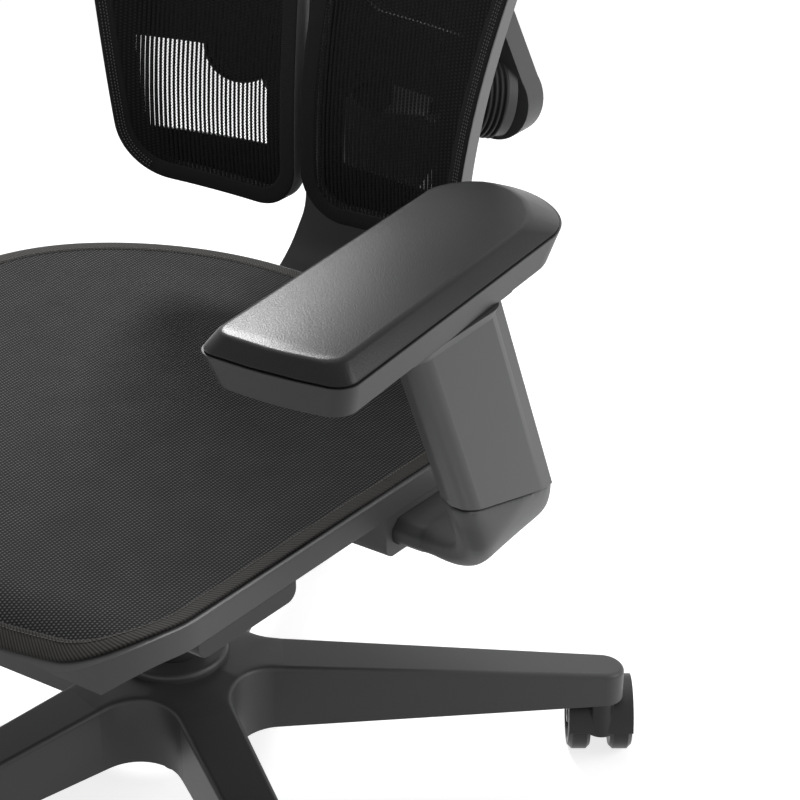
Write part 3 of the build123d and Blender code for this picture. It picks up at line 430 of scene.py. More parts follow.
@dataclass(frozen=True)
class Weave:
    """Ribbed cloth: ribs along V, with thread floats along them whose crests get a painted highlight
    over painted shade between the ribs.
    """

    name: str
    shadow: Triple
    float_highlight: Triple
    rib_pitch: float
    float_pitch: float
    gloss: float
    gap: float = 0.0
    bar_cover: float = 0.0
    depth: float = 0.4 * MM
    pull_scale: float = 9.0
    pull: float = 0.7
    slack_scale: float = 30.0
    shine: tuple[float, float] = (0.55, 1.25)
    roughness: tuple[float, float] = (0.72, 0.5)
    relief: float = 0.8

    def material(self) -> Material:
        """Make the material."""
        bench = Bench(self.name)
        chart, u, v = bench.chart()
        pull = bench.maths("MULTIPLY", bench.noise(chart, self.pull_scale, detail=2.0), self.pull)
        across = bench.maths("ADD", bench.maths("DIVIDE", u, self.rib_pitch), pull)
        row = bench.maths("FLOOR", across)
        stagger = bench.maths("MULTIPLY", bench.maths("MODULO", row, 2.0), 0.5)
        along = bench.maths("ADD", bench.maths("DIVIDE", v, self.float_pitch), stagger)
        rib = bench.ripple(across)
        crest = bench.maths("SMOOTH_MIN", rib, bench.ripple(along), 0.3)
        height = bench.weigh(rib, 0.6, crest, 0.4)
        slack = bench.spread(bench.noise(chart, self.slack_scale, detail=2.0), *self.shine)
        # Painted highlight on the float crests, fading to painted shade in the rib hollows
        tone = bench.maths("MULTIPLY", bench.maths("POWER", crest, 2.0), slack)
        cover = 1.0
        if self.gap > 0:
            away = bench.maths("PINGPONG", along, 0.5)
            bar = bench.maths("LESS_THAN", away, self.bar_cover / 2.0)
            pulled = bench.add("ShaderNodeAttribute", attribute_name="pulled").outputs["Fac"]
            slit = bench.maths("MULTIPLY", pulled, self.gap)
            cover = bench.maths("MAXIMUM", bench.maths("GREATER_THAN", rib, slit), bar)
        return bench.finish(
            Base_Color=bench.blend(tone, self.shadow, self.float_highlight),
            Roughness=bench.spread(crest, *self.roughness),
            Normal=bench.bump(height, self.depth, self.relief),
            Specular_IOR_Level=self.gloss,
            Alpha=cover,
        )


@dataclass(frozen=True)
class HemTape:
    """Doubled cloth of a hem with a slanting twill."""

    name: str
    shadow: Triple
    light: Triple
    pitch: float = 1.5 * MM
    slant: float = 0.6
    fuzz_scale: float = 700.0
    shine: tuple[float, float] = (0.6, 1.2)
    roughness: tuple[float, float] = (0.6, 0.75)
    depth: float = 0.25 * MM
    relief: float = 0.7
    gloss: float = 0.15

    def material(self) -> Material:
        """Make the material."""
        bench = Bench(self.name)
        chart, u, v = bench.chart()
        lean = bench.maths("MULTIPLY", u, self.slant)
        twill = bench.maths("DIVIDE", bench.maths("ADD", v, lean), self.pitch)
        ridge = bench.ripple(twill)
        fuzz = bench.noise(chart, self.fuzz_scale, detail=2.0)
        tone = bench.maths("MULTIPLY", ridge, bench.spread(fuzz, *self.shine))
        return bench.finish(
            Base_Color=bench.blend(tone, self.shadow, self.light),
            Roughness=bench.spread(fuzz, *self.roughness),
            Normal=bench.bump(ridge, self.depth, self.relief),
            Specular_IOR_Level=self.gloss,
        )


@dataclass(frozen=True)
class Thread:
    """Twisted sewing thread."""

    name: str
    colour: Triple
    twist_scale: float = 1600.0
    patch_scale: float = 40.0
    dark: float = 0.55
    roughness: tuple[float, float] = (0.45, 0.65)
    depth: float = 0.1 * MM
    relief: float = 0.6

    def material(self) -> Material:
        """Make the material."""
        bench = Bench(self.name)
        where = bench.place()
        twist = bench.noise(where, self.twist_scale, detail=1.0)
        patch = bench.noise(where, self.patch_scale, detail=2.0)
        tone = bench.weigh(twist, 0.5, patch, 0.5)
        return bench.finish(
            Base_Color=bench.tint(tone, self.colour, self.dark),
            Roughness=bench.spread(twist, *self.roughness),
            Normal=bench.bump(twist, self.depth, self.relief),
        )


@dataclass(frozen=True)
class Metal:
    """Bare or coated metal with fine machining marks."""

    name: str
    colour: Triple
    roughness: float
    metallic: float = 1.0
    marks_scale: float = 900.0
    haze_scale: float = 22.0
    dark: float = 0.85
    smoother: float = 0.04
    rougher: float = 0.06
    depth: float = 0.02 * MM
    relief: float = 0.3
    edge: float = 0.5 * MM

    def material(self) -> Material:
        """Make the material."""
        bench = Bench(self.name)
        where = bench.place()
        marks = bench.noise(where, self.marks_scale, detail=2.0)
        haze = bench.noise(where, self.haze_scale, detail=3.0)
        low, high = self.roughness - self.smoother, self.roughness + self.rougher
        return bench.finish(
            Base_Color=bench.tint(haze, self.colour, self.dark),
            Metallic=self.metallic,
            Roughness=bench.spread(marks, low, high),
            Normal=bench.bump(marks, self.depth, self.relief, self.edge),
        )


Finish = MouldedPlastic | GrainedSkin | Weave | HemTape | Thread | Metal
FINISHES: dict[str, Finish] = {
    "shell": MouldedPlastic("shell_black", (0.016, 0.016, 0.017), 0.46),
    "arm": MouldedPlastic("arm_charcoal", (0.085, 0.086, 0.088), 0.5),
    "bracket": MouldedPlastic("bracket_charcoal", (0.064, 0.065, 0.067), 0.5),
    "base": MouldedPlastic(
        "base_nylon", (0.05, 0.05, 0.051), 0.44, gloss=0.4, grain=1.0 * MM, depth=0.07 * MM
    ),
    "rim": MouldedPlastic("rim_grey", (0.1, 0.1, 0.102), 0.5),
    "back_rim": MouldedPlastic("back_rim_grey", (0.2, 0.2, 0.203), 0.45),
    "frame": MouldedPlastic("frame_grey", (0.085, 0.085, 0.087), 0.45),
    "wheel": MouldedPlastic("wheel_black", (0.012, 0.012, 0.013), 0.4, gloss=0.3, lacquer=0.08),
    "pad": GrainedSkin("pad_skin", (0.011, 0.011, 0.0114), 0.31, gloss=0.2, depth=0.08 * MM),
    "rubber": MouldedPlastic("rubber_black", (0.014, 0.014, 0.014), 0.55, gloss=0.3),
    "seat_weave": Weave(
        "seat_weave", (0.004, 0.004, 0.0043), (0.17, 0.17, 0.175), 2.9 * MM, 2.3 * MM, gloss=0.08
    ),
    "back_weave": Weave(
        "back_weave",
        (0.005, 0.005, 0.0052),
        (0.036, 0.036, 0.037),
        3.8 * MM,
        2.6 * MM,
        gloss=0.1,
        gap=0.38,
        bar_cover=0.24,
    ),
    "seat_hem": HemTape(
        "seat_hem", (0.004, 0.004, 0.004), (0.07, 0.067, 0.062), pitch=2.6 * MM, slant=0.9
    ),
    "back_hem": HemTape("back_hem", (0.004, 0.004, 0.004), (0.03, 0.03, 0.03)),
    "seat_thread": Thread("seat_thread", (0.12, 0.113, 0.1)),
    "back_thread": Thread("back_thread", (0.22, 0.22, 0.225)),
    "steel": Metal("turned_steel", (0.55, 0.55, 0.56), 0.3),
    "chrome": Metal("polished_chrome", (0.5, 0.5, 0.51), 0.12),
    "paint": Metal("black_paint", (0.02, 0.02, 0.021), 0.4, metallic=0.0),
}


class Chair:
    """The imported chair, its nodes and the shared finishes."""

    def __init__(self) -> None:
        """Load the frame, keep its box and make the finishes."""
        self.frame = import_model()
        self.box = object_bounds()
        self.made = {key: finish.material() for key, finish in FINISHES.items()}

    def node(self, name: str) -> Object:
        """Give a CAD node's object."""
        return self.frame["nodes"][name]

    def dress(self, finish: str, *names: str) -> None:
        """Give nodes a finish.

        Args:
            finish: The finish's key.
            names: The nodes' names.
        """
        for name in names:
            target = self.node(name)
            target.data.materials.clear()
            target.data.materials.append(self.made[finish])
            LOG.info("dressed %s in %s", name, finish)

    def piece(
        self, name: str, mesh: Mesh, body: str, finish: str | None
    ) -> Object:
        """Make a new object that rides on a body.

        Args:
            name: The piece's name.
            mesh: Its mesh, placed in the chair's frame.
            body: The body it moves with.
            finish: The finish's key, or None where the mesh is already dressed.

        Returns:
            The new object.
        """
        made = add_object(name, mesh)
        if finish is not None:
            made.data.materials.append(self.made[finish])
        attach(made, body)
        LOG.info("made %s on %s", name, body)
        return made

    def surface_of(self, *names: str) -> BVHTree:
        """Give the triangles of some nodes as one tree for ray casts.

        Args:
            names: The nodes' names.

        Returns:
            The tree.
        """
        points, faces = [], []
        for name in names:
            mesh = self.node(name).data
            start = len(points)
            points.extend(v.co for v in mesh.vertices)
            faces.extend(tuple(start + index for index in p.vertices) for p in mesh.polygons)
        return BVHTree.FromPolygons(points, faces)


@dataclass
class Panel:
    """A CAD panel seen along one direction, which cloth and hems are laid on by ray casts."""

    tree: BVHTree
    centre: Vector
    across: Vector
    along: Vector
    cast: Vector
    reach: float = 0.4
    halvings: int = 20
    edge_points: int = 900
    least_inset: float = 0.25 * MM
    span: int = 3

    def spot(self, u: float, v: float) -> tuple[Vector | None, Vector | None]:
        """Find the panel's surface under a place in its plan.

        Args:
            u: The distance across from the centre.
            v: The distance along from the centre.

        Returns:
            The surface point and its normal towards the viewer, or two Nones beyond the edge.
        """
        start = self.centre + self.across * u + self.along * v - self.cast
        hit, normal, _, _ = self.tree.ray_cast(start, self.cast)
        if hit is None:
            return None, None
        return hit, (normal if normal.dot(self.cast) < 0 else -normal)

    def edge(self, u: float, v: float, du: float, dv: float) -> float:
        """Find how far the panel reaches from a place in its plan.

        Args:
            u: The start's distance across.
            v: The start's distance along.
            du: The direction's share across.
            dv: The direction's share along.

        Returns:
            The distance to the panel's edge.
        """
        low, high = 0.0, self.reach
        for _ in range(self.halvings):
            middle = (low + high) / 2
            inside = self.spot(u + du * middle, v + dv * middle)[0] is not None
            low, high = (middle, high) if inside else (low, middle)
        return low

    def outline(self) -> np.ndarray:
        """Give the panel's outline in its plan, anticlockwise and evenly spaced."""
        loop = []
        for turn in np.linspace(0.0, 2 * math.pi, self.edge_points, endpoint=False):
            far = self.edge(0.0, 0.0, math.cos(turn), math.sin(turn))
            loop.append((far * math.cos(turn), far * math.sin(turn)))
        return self.even(np.array(loop), 0.0)

    def even(self, loop: np.ndarray, shift: float) -> np.ndarray:
        """Space a closed loop's points evenly.

        Args:
            loop: The loop's points.
            shift: Where along the loop the first point goes, in metres.

        Returns:
            As many points, evenly spaced.
        """
        closed = np.vstack([loop, loop[:1]])
        lengths = np.linalg.norm(np.diff(closed, axis=0), axis=1)
        run = np.concatenate([[0.0], np.cumsum(lengths)])
        at = (np.linspace(0.0, run[-1], len(loop), endpoint=False) + shift) % run[-1]
        return np.column_stack([np.interp(at, run, closed[:, k]) for k in range(2)])

    def ring(
        self, outline: np.ndarray, inset: float, lift: float, shift: float = 0.0
    ) -> tuple[np.ndarray, np.ndarray]:
        """Run a ring round the panel, inside its outline and off its surface.

        Args:
            outline: The panel's outline.
            inset: How far inside the outline the ring runs.
            lift: How far off the surface it runs.
            shift: Where along the ring the first point goes.

        Returns:
            The ring's points and their normals.
        """
        step = np.roll(outline, -self.span, axis=0) - np.roll(outline, self.span, axis=0)
        inward = -outward_of(step) * max(inset, self.least_inset)
        flat = self.even(outline + inward, shift)
        points, normals = [], []
        for u, v in flat:
            hit, normal = self.spot(u, v)
            points.append(hit + normal * lift)
            normals.append(normal)
        return np.array(points), np.array(normals)


@dataclass
class StretchedSheet:
    """A cloth sheet stretched over a panel and charted in metres."""

    panel: Panel
    rows: int
    columns: int
    slack_side: float = 0.0
    slack_width: float = 45.0 * MM
    lift: float = 0.15 * MM
    end_margin: float = 0.0008
    side_margin: float = 0.02 * MM
    width: float = 0.0
    length: float = 0.0
    area: float = 0.0

    def build(self) -> Mesh:
        """Lay a grid on the panel, row by row, from edge to edge, and measure it.

        Returns:
            The mesh, with its UV map in metres and, as pulled, how far its slits stand open.
        """
        panel = self.panel
        first, last = -panel.edge(0.0, 0.0, 0.0, -1.0), panel.edge(0.0, 0.0, 0.0, 1.0)
        points = np.zeros((self.rows, self.columns, 3))
        chart = np.zeros((self.rows, self.columns, 2))
        pulled = np.ones((self.rows, self.columns))
        for i in range(self.rows):
            share = (1 - math.cos(math.pi * i / (self.rows - 1))) / 2
            v = first + (last - first) * (self.end_margin + (1 - 2 * self.end_margin) * share)
            right = panel.edge(0.0, v, 1.0, 0.0) - self.side_margin
            left = panel.edge(0.0, v, -1.0, 0.0) - self.side_margin
            for j in range(self.columns):
                u = -left + (left + right) * j / (self.columns - 1)
                hit = panel.spot(u, v)[0]
                if hit is None:
                    hit = panel.tree.find_nearest(Vector(points[i, max(j - 1, 0)]))[0]
                points[i, j] = hit - panel.cast * self.lift
                chart[i, j, 0] = u
                if self.slack_side:
                    from_edge = right - u if self.slack_side > 0 else left + u
                    pulled[i, j] = min(max(2 * from_edge / self.slack_width - 1, 0.0), 1.0)
        steps = np.linalg.norm(np.diff(points[:, self.columns // 2], axis=0), axis=1)
        chart[:, :, 1] = np.concatenate([[0.0], np.cumsum(steps)])[:, None]
        spans = np.linalg.norm(np.diff(points, axis=1), axis=2).sum(axis=1)
        self.width, self.length = float(spans.max()), float(steps.sum())
        mesh = grid_mesh("sheet", points, chart, closed=False)
        layer = mesh.attributes.new("pulled", "FLOAT", "POINT")
        layer.data.foreach_set("value", pulled.ravel())
        self.area = sum(p.area for p in mesh.polygons)
        return mesh


@dataclass
class HemBand:
    """A doubled edge of cloth that runs round a panel."""

    panel: Panel
    width: float
    height: float = 0.9 * MM

    def build(self, outline: np.ndarray) -> Mesh:
        """Sweep the hem's rounded section round the outline.

        Args:
            outline: The panel's outline.

        Returns:
            The closed mesh.
        """
        wide, high = self.width, self.height
        # Inset and lift, from the outer foot over the crown to the inner foot and back below
        profile = (
            (0.25 * MM, -0.9 * MM),
            (0.25 * MM, 0.35 * high),
            (0.7 * MM, 0.8 * high),
            (1.8 * MM, high),
            (wide * 0.5, high),
            (wide - 1.6 * MM, 0.85 * high),
            (wide - 0.5 * MM, 0.5 * high),
            (wide, -0.1 * MM),
            (wide * 0.5, -0.3 * MM),
        )
        rings = np.array([self.panel.ring(outline, inset, lift)[0] for inset, lift in profile])
        run = np.linalg.norm(np.roll(outline, -1, axis=0) - outline, axis=1).cumsum()
        chart = np.zeros((*rings.shape[:2], 2))
        chart[:, :, 0] = np.array([inset for inset, _ in profile])[:, None]
        chart[:, :, 1] = run[None, :]
        return grid_mesh("hem", rings, chart, closed=True)


@dataclass(frozen=True)
class Seam:
    """The measures of a hem's stitches, in rows that go all round or face one way."""

    insets: tuple[float, ...]
    pitch: float
    length: float
    thickness: float
    facing: tuple[float, float] | None = None


@dataclass
class StitchRun:
    """Rows of stitches that follow a panel's outline, made by Geometry Nodes."""

    panel: Panel
    seam: Seam
    lift: float
    span: int = 5
    facing_limit: float = 0.5
    bead_segments: int = 6
    bead_rings: int = 4

    def tree(self) -> tuple[NodeTree, dict[str, str]]:
        """Build the node tree that sews one stitch at each step along a ring.

        Returns:
            The tree, and its named inputs' identifiers.
        """
        tree = bpy.data.node_groups.new("stitch_run", "GeometryNodeTree")
        kinds = {
            "Geometry": "NodeSocketGeometry",
            **dict.fromkeys(("Pitch", "Length", "Thickness"), "NodeSocketFloat"),
            "Thread": "NodeSocketMaterial",
        }
        named = {
            label: tree.interface.new_socket(label, in_out="INPUT", socket_type=kind).identifier
            for label, kind in kinds.items()
        }
        tree.interface.new_socket("Geometry", in_out="OUTPUT", socket_type=kinds["Geometry"])
        wiring = Wiring(tree)
        entry = wiring.add("NodeGroupInput").outputs
        curve = wiring.add("GeometryNodeMeshToCurve", Mesh=entry["Geometry"])
        steps = wiring.add(
            "GeometryNodeResampleCurve", mode="LENGTH", Curve=curve, Length=entry["Pitch"]
        )
        segments, rings = self.bead_segments, self.bead_rings
        bead = wiring.add("GeometryNodeMeshUVSphere", Segments=segments, Rings=rings, Radius=0.5)
        thick = entry["Thickness"]
        size = wiring.add("ShaderNodeCombineXYZ", X=entry["Length"], Y=thick, Z=thick)
        shape = wiring.add("GeometryNodeTransform", Geometry=bead, Scale=size)
        turn = "FunctionNodeAlignRotationToVector"
        lie = wiring.add(turn, axis="X", Vector=wiring.add("GeometryNodeInputTangent"))
        up = wiring.add("GeometryNodeInputNamedAttribute", data_type="FLOAT_VECTOR", Name="up")
        stand = wiring.add(turn, axis="Z", pivot_axis="X", Rotation=lie, Vector=up)
        sew = wiring.add(
            "GeometryNodeInstanceOnPoints", Points=steps, Instance=shape, Rotation=stand
        )
        real = wiring.add("GeometryNodeRealizeInstances", Geometry=sew)
        dress = wiring.add("GeometryNodeSetMaterial", Geometry=real, Material=entry["Thread"])
        wiring.add("NodeGroupOutput", Geometry=dress)
        return tree, named

    def sewn(self, ring: np.ndarray) -> np.ndarray:
        """Tell which steps of a ring are sewn: all of them, or those that face one way.

        Args:
            ring: The ring's points.

        Returns:
            True for each step that is sewn.
        """
        if self.seam.facing is None:
            return np.full(len(ring), True)
        step = np.roll(ring, -self.span, axis=0) - np.roll(ring, self.span, axis=0)
        plan = step @ np.array([self.panel.across, self.panel.along]).T
        return outward_of(plan) @ np.array(self.seam.facing) > self.facing_limit

    def build(self, outline: np.ndarray, thread: Material) -> Mesh:
        """Sew the rows.

        Args:
            outline: The panel's outline.
            thread: The thread's material.

        Returns:
            The stitches' mesh.
        """
        seam = self.seam
        points, normals, edges = [], [], []
        for row, inset in enumerate(seam.insets):
            ring, up = self.panel.ring(outline, inset, self.lift, row * seam.pitch / 2)
            start, count = len(points), len(ring)
            points.extend(tuple(p) for p in ring)
            normals.extend(up)
            sewn = self.sewn(ring)
            edges.extend((start + k, start + (k + 1) % count) for k in range(count) if sewn[k])
        path = bpy.data.meshes.new("stitch_path")
        path.from_pydata(points, edges, [])
        layer = path.attributes.new("up", "FLOAT_VECTOR", "POINT")
        layer.data.foreach_set("vector", np.array(normals).ravel())
        guide = add_object("stitch_guide", path)
        tree, named = self.tree()
        sewing = guide.modifiers.new("sewing", "NODES")
        sewing.node_group = tree
        sewing[named["Pitch"]] = seam.pitch
        sewing[named["Length"]] = seam.length
        sewing[named["Thickness"]] = seam.thickness
        sewing[named["Thread"]] = thread
        mesh = take_result(guide)
        smooth(mesh)
        return mesh


@dataclass
class Upholstery:
    """One stretched cloth with its hem and stitches."""

    chair: Chair
    name: str
    node: str
    body: str
    rests_on: str
    finish: str
    hem_width: float
    seam: Seam
    stitch_rise: float = 0.1

    def build(self, panel: Panel, edge: Panel, rows: int, columns: int) -> None:
        """Stretch the cloth over its panel, then hem and stitch it.

        Args:
            panel: The panel that carries the cloth.
            edge: The panel that the hem is laid on, up to its outline.
            rows: The cloth's rows.
            columns: The cloth's columns.
        """
        seam, kind = self.seam, self.finish
        sheet = StretchedSheet(panel, rows, columns, seam.facing[0] if seam.facing else 0.0)
        cloth = self.chair.piece(f"{self.name}_cloth", sheet.build(), self.body, f"{kind}_weave")
        outline = edge.outline()
        band = HemBand(edge, self.hem_width)
        band_mesh = band.build(outline)
        hem = self.chair.piece(f"{self.name}_hem", band_mesh, self.body, f"{kind}_hem")
        run = StitchRun(edge, seam, band.height + self.stitch_rise * seam.thickness)
        sewn = run.build(outline, self.chair.made[f"{kind}_thread"])
        stitches = self.chair.piece(f"{self.name}_stitches", sewn, self.body, None)
        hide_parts(self.node)
        LOG.info("%s is %.3f by %.3f m, %.4f m2", self.name, sheet.width, sheet.length, sheet.area)


@dataclass
class Seat:
    """The seat: its frame, carrier and stretched mesh."""

    chair: Chair
    seam: Seam = Seam((10.5 * MM,), pitch=3.1 * MM, length=2.7 * MM, thickness=0.75 * MM)
    hem_width: float = 13.0 * MM

    def build(self) -> None:
        """Dress the frame and stretch the mesh."""
        self.chair.dress("rim", "seat_frame")
        self.chair.dress("shell", "seat_carrier")
        self.chair.dress("steel", "bracket_screws_left", "bracket_screws_right")
        low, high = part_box("seat_mesh")
        centre = Vector(((low[0] + high[0]) / 2, (low[1] + high[1]) / 2, high[2]))
        ways = Vector((1, 0, 0)), Vector((0, 1, 0)), Vector((0, 0, -1))
        panel = Panel(self.chair.surface_of("seat_mesh"), centre, *ways)
        Upholstery(
            self.chair, "seat", "seat_mesh", "seat", "seat_frame", "seat", self.hem_width, self.seam
        ).build(panel, panel, rows=150, columns=110)


@dataclass
class BushBoot:
    """A ribbed rubber boot over the cup that holds one back bush."""

    chair: Chair
    side: Side
    bush_seat: float = 4.0 * MM
    cup_radius: float = 30.0 * MM
    cup_gap: float = 0.2 * MM
    start: float = 7.0 * MM
    end: float = 24.6 * MM
    ribs: int = 4
    rise: float = 2.0 * MM
    root: float = 1.5 * MM
    steps: int = 48
    turns: int = 96

    def axis(self) -> tuple[np.ndarray, np.ndarray]:
        """Find the bush's axis from its solid, which is round about that way alone.

        Returns:
            The point where the cup starts, and the way from there to the back half.
        """
        faces = self.chair.node(f"back_bush_{self.side.value}").data.polygons
        areas = np.array([face.area for face in faces])
        spots = np.array([face.center for face in faces])
        middle = np.average(spots, axis=0, weights=areas)
        values, ways = np.linalg.eigh(np.cov((spots - middle).T, aweights=areas))
        odd = int(np.argmax(np.abs(values - np.median(values))))
        axis = ways[:, odd] * (-np.sign(ways[0, odd]) * self.side.sign)
        return middle + axis * (((spots - middle) @ axis).min() - self.bush_seat), axis

    def build(self) -> None:
        """Sweep the ribs round the cup and let the boot ride on the back."""
        tag = self.side.value
        start, axis = self.axis()
        across = np.cross(axis, (0.0, 0.0, 1.0))
        across /= np.linalg.norm(across)
        along = np.linspace(self.start, self.end, self.steps)
        wave = np.abs(np.sin(np.linspace(0.0, math.pi * self.ribs, self.steps)))
        radius = self.cup_radius + self.cup_gap + self.rise * wave
        along = np.concatenate((along, along[[-1, 0]]))
        radius = np.concatenate((radius, [self.cup_radius - self.root] * 2))
        turns = np.linspace(0.0, 2 * math.pi, self.turns, endpoint=False)[:, None, None]
        outward = np.cos(turns) * across + np.sin(turns) * np.cross(axis, across)
        points = start + along[None, :, None] * axis + radius[None, :, None] * outward
        mesh = grid_mesh(f"bush_boot_{tag}", points, points[:, :, :2], closed=True)
        face_outward(mesh)
        boot = self.chair.piece(f"bush_boot_{tag}", mesh, "back", "rubber")


@dataclass
class Back:
    """The back frame, its bushes with their boots, and the two mesh halves."""

    chair: Chair
    seam: Seam = Seam(
        (4.0 * MM, 6.2 * MM, 8.4 * MM), pitch=2.6 * MM, length=1.7 * MM, thickness=0.8 * MM
    )
    hem_width: float = 14.0 * MM

    def build(self) -> None:
        """Dress the frame, stretch a mesh on each half and put a boot on each cup."""
        self.chair.dress("frame", "back_frame")
        for side in Side:
            self.half(side)
            BushBoot(self.chair, side).build()

    def half(self, side: Side) -> None:
        """Dress one half and stretch its mesh.

        Args:
            side: The half's hand.
        """
        tag = side.value
        node, rim, body = f"back_mesh_{tag}", f"back_rim_{tag}", f"back_half_{tag}"
        self.chair.dress("rubber", f"back_bush_{tag}")
        self.chair.dress("back_rim", rim)
        self.chair.dress("shell", f"back_carrier_{tag}")
        low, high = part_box(node)
        centre = Vector(((low[0] + high[0]) / 2, low[1], (low[2] + high[2]) / 2))
        ways = Vector((1, 0, 0)), Vector((0, 0, 1)), Vector((0, 1, 0))
        panel, edge = (
            Panel(self.chair.surface_of(*nodes), centre, *ways) for nodes in ((node,), (node, rim))
        )
        seam = replace(self.seam, facing=(side.sign, 0.0))
        Upholstery(
            self.chair, f"back_{tag}", node, body, rim, "back", self.hem_width, seam
        ).build(panel, edge, rows=130, columns=60)


@dataclass
class Arm:
    """One arm: bracket, post, sleeve, button and pad."""

    chair: Chair
    side: Side
    edge_round: float = 2.6 * MM
    edge_segments: int = 4
    middle_x: float = 11.25 * MM
    joint_y: float = -95.72 * MM
    joint_height: float = 414.0 * MM
    joint_slope: float = math.radians(16.0)
    joint_groove: float = 0.9 * MM
    joint_reach: float = 60.0 * MM
    lean: float = math.radians(24.0)
    long_edge: float = 60.0 * MM
    long_edge_match: float = 0.98
    sleeve_flat: float = math.radians(1)
    sleeve_crease: float = math.radians(12)
    sleeve_sharp: float = math.radians(16)
    bracket_root: float = 262.0 * MM
    bracket_step: float = 1.8 * MM
    bracket_fade: float = 14.0 * MM
    bracket_passes: int = 40
    bracket_pull: float = 0.6
    pad_flat: float = math.radians(4)
    pad_crease: float = math.radians(18)
    pad_fill: float = 0.95

    def build(self) -> None:
        """Dress the arm and make its sleeve, bracket and soft pad."""
        tag = self.side.value
        self.chair.dress("steel", f"arm_post_{tag}")
        self.sleeve()
        self.bracket()
        self.chair.dress("shell", f"arm_button_{tag}", f"pad_slider_{tag}", f"pad_shell_{tag}")
        self.pad()

    def rounded(
        self, node: str, flat: float, chosen: Callable[[bmesh.types.BMEdge], bool]
    ) -> Mesh:
        """Copy a solid and round some of its edges.

        Args:
            node: The solid's node.
            flat: The angle below which two faces count as one.
            chosen: Tells which of the edges between two faces are rounded.

        Returns:
            The smooth mesh, with no finish yet.
        """
        mesh = self.chair.node(node).data.copy()
        with editing(mesh) as form:
            bmesh.ops.remove_doubles(form, verts=form.verts, dist=WELD)
            bmesh.ops.dissolve_limit(form, angle_limit=flat, verts=form.verts, edges=form.edges)
            edges = [edge for edge in form.edges if len(edge.link_faces) == 2 and chosen(edge)]
            LOG.info("rounding %d edges of %s", len(edges), node)
            sizes = {"offset": self.edge_round, "segments": self.edge_segments, "profile": 0.5}
            bmesh.ops.bevel(form, geom=edges, affect="EDGES", **sizes)
            bmesh.ops.triangulate(form, faces=[f for f in form.faces if len(f.verts) > 4])
        mesh.materials.clear()
        smooth(mesh)
        return mesh

    def is_long(self, edge: bmesh.types.BMEdge) -> bool:
        """Tell whether an edge is one of the sleeve's long outer ones.

        Args:
            edge: The edge.

        Returns:
            Whether it is convex, runs along the sleeve and turns enough.
        """
        axis = Vector((0.0, -math.sin(self.lean), math.cos(self.lean)))
        way = (edge.verts[1].co - edge.verts[0].co).normalized()
        return (
            edge.is_convex
            and edge.calc_length() > self.long_edge
            and abs(way.dot(axis)) > self.long_edge_match
            and edge.calc_face_angle() > self.sleeve_crease
        )

    def sleeve(self) -> None:
        """Make the sleeve with its long edges rounded in place of its crisp solid."""
        tag = self.side.value
        mesh = self.rounded(f"arm_sleeve_{tag}", self.sleeve_flat, self.is_long)
        mesh.set_sharp_from_angle(angle=self.sleeve_sharp)
        sleeve = self.chair.piece(f"sleeve_{tag}", mesh, f"arm_{tag}", "arm")
        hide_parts(f"arm_sleeve_{tag}")

    def bracket(self) -> None:
        """Make the bracket with a flowing bend in place of its faceted solid."""
        tag = self.side.value
        mesh = self.chair.node(f"arm_bracket_{tag}").data.copy()
        with editing(mesh) as form:
            bmesh.ops.remove_doubles(form, verts=form.verts, dist=WELD)
        block = add_object("bracket_block", mesh)
        even = block.modifiers.new("even", "REMESH")
        even.mode = "VOXEL"
        even.voxel_size = self.bracket_step
        fine = take_result(block)
        points = np.array([v.co for v in fine.vertices])
        ends = np.array([e.vertices for e in fine.edges])
        rise = (points[:, 1] - self.joint_y) * math.tan(self.joint_slope)
        below = self.joint_height - (points[:, 2] + rise)
        inside = self.bracket_root - np.abs(points[:, 0] - self.middle_x)
        free = np.clip(below * math.cos(self.joint_slope) / self.bracket_fade, 0.0, 1.0)
        free *= np.clip(-inside / self.bracket_fade, 0.0, 1.0)
        for _ in range(self.bracket_passes):
            total = np.zeros_like(points)
            count = np.zeros(len(points))
            for here, there in ((0, 1), (1, 0)):
                np.add.at(total, ends[:, here], points[ends[:, there]])
                np.add.at(count, ends[:, here], 1.0)
            mean = total / np.maximum(count, 1.0)[:, None]
            points += self.bracket_pull * free[:, None] * (mean - points)
        drop = self.joint_groove * np.clip(1 - below / self.bracket_fade, 0.0, 1.0)
        points[:, 2] -= drop * (points[:, 2] > self.joint_height - self.joint_reach)
        fine.vertices.foreach_set("co", points.ravel())
        fine.materials.clear()
        smooth(fine)
        fine.update()
        bracket = self.chair.piece(f"bracket_bend_{tag}", fine, "seat", "bracket")
        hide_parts(f"arm_bracket_{tag}")

    def pad(self) -> None:
        """Make the soft pad with rounded edges in place of its plain solid."""
        tag = self.side.value
        mesh = self.rounded(
            f"pad_top_{tag}", self.pad_flat, lambda edge: edge.calc_face_angle() > self.pad_crease
        )
        pad = self.chair.piece(f"pad_cushion_{tag}", mesh, f"pad_{tag}", "pad")
        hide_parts(f"pad_top_{tag}")


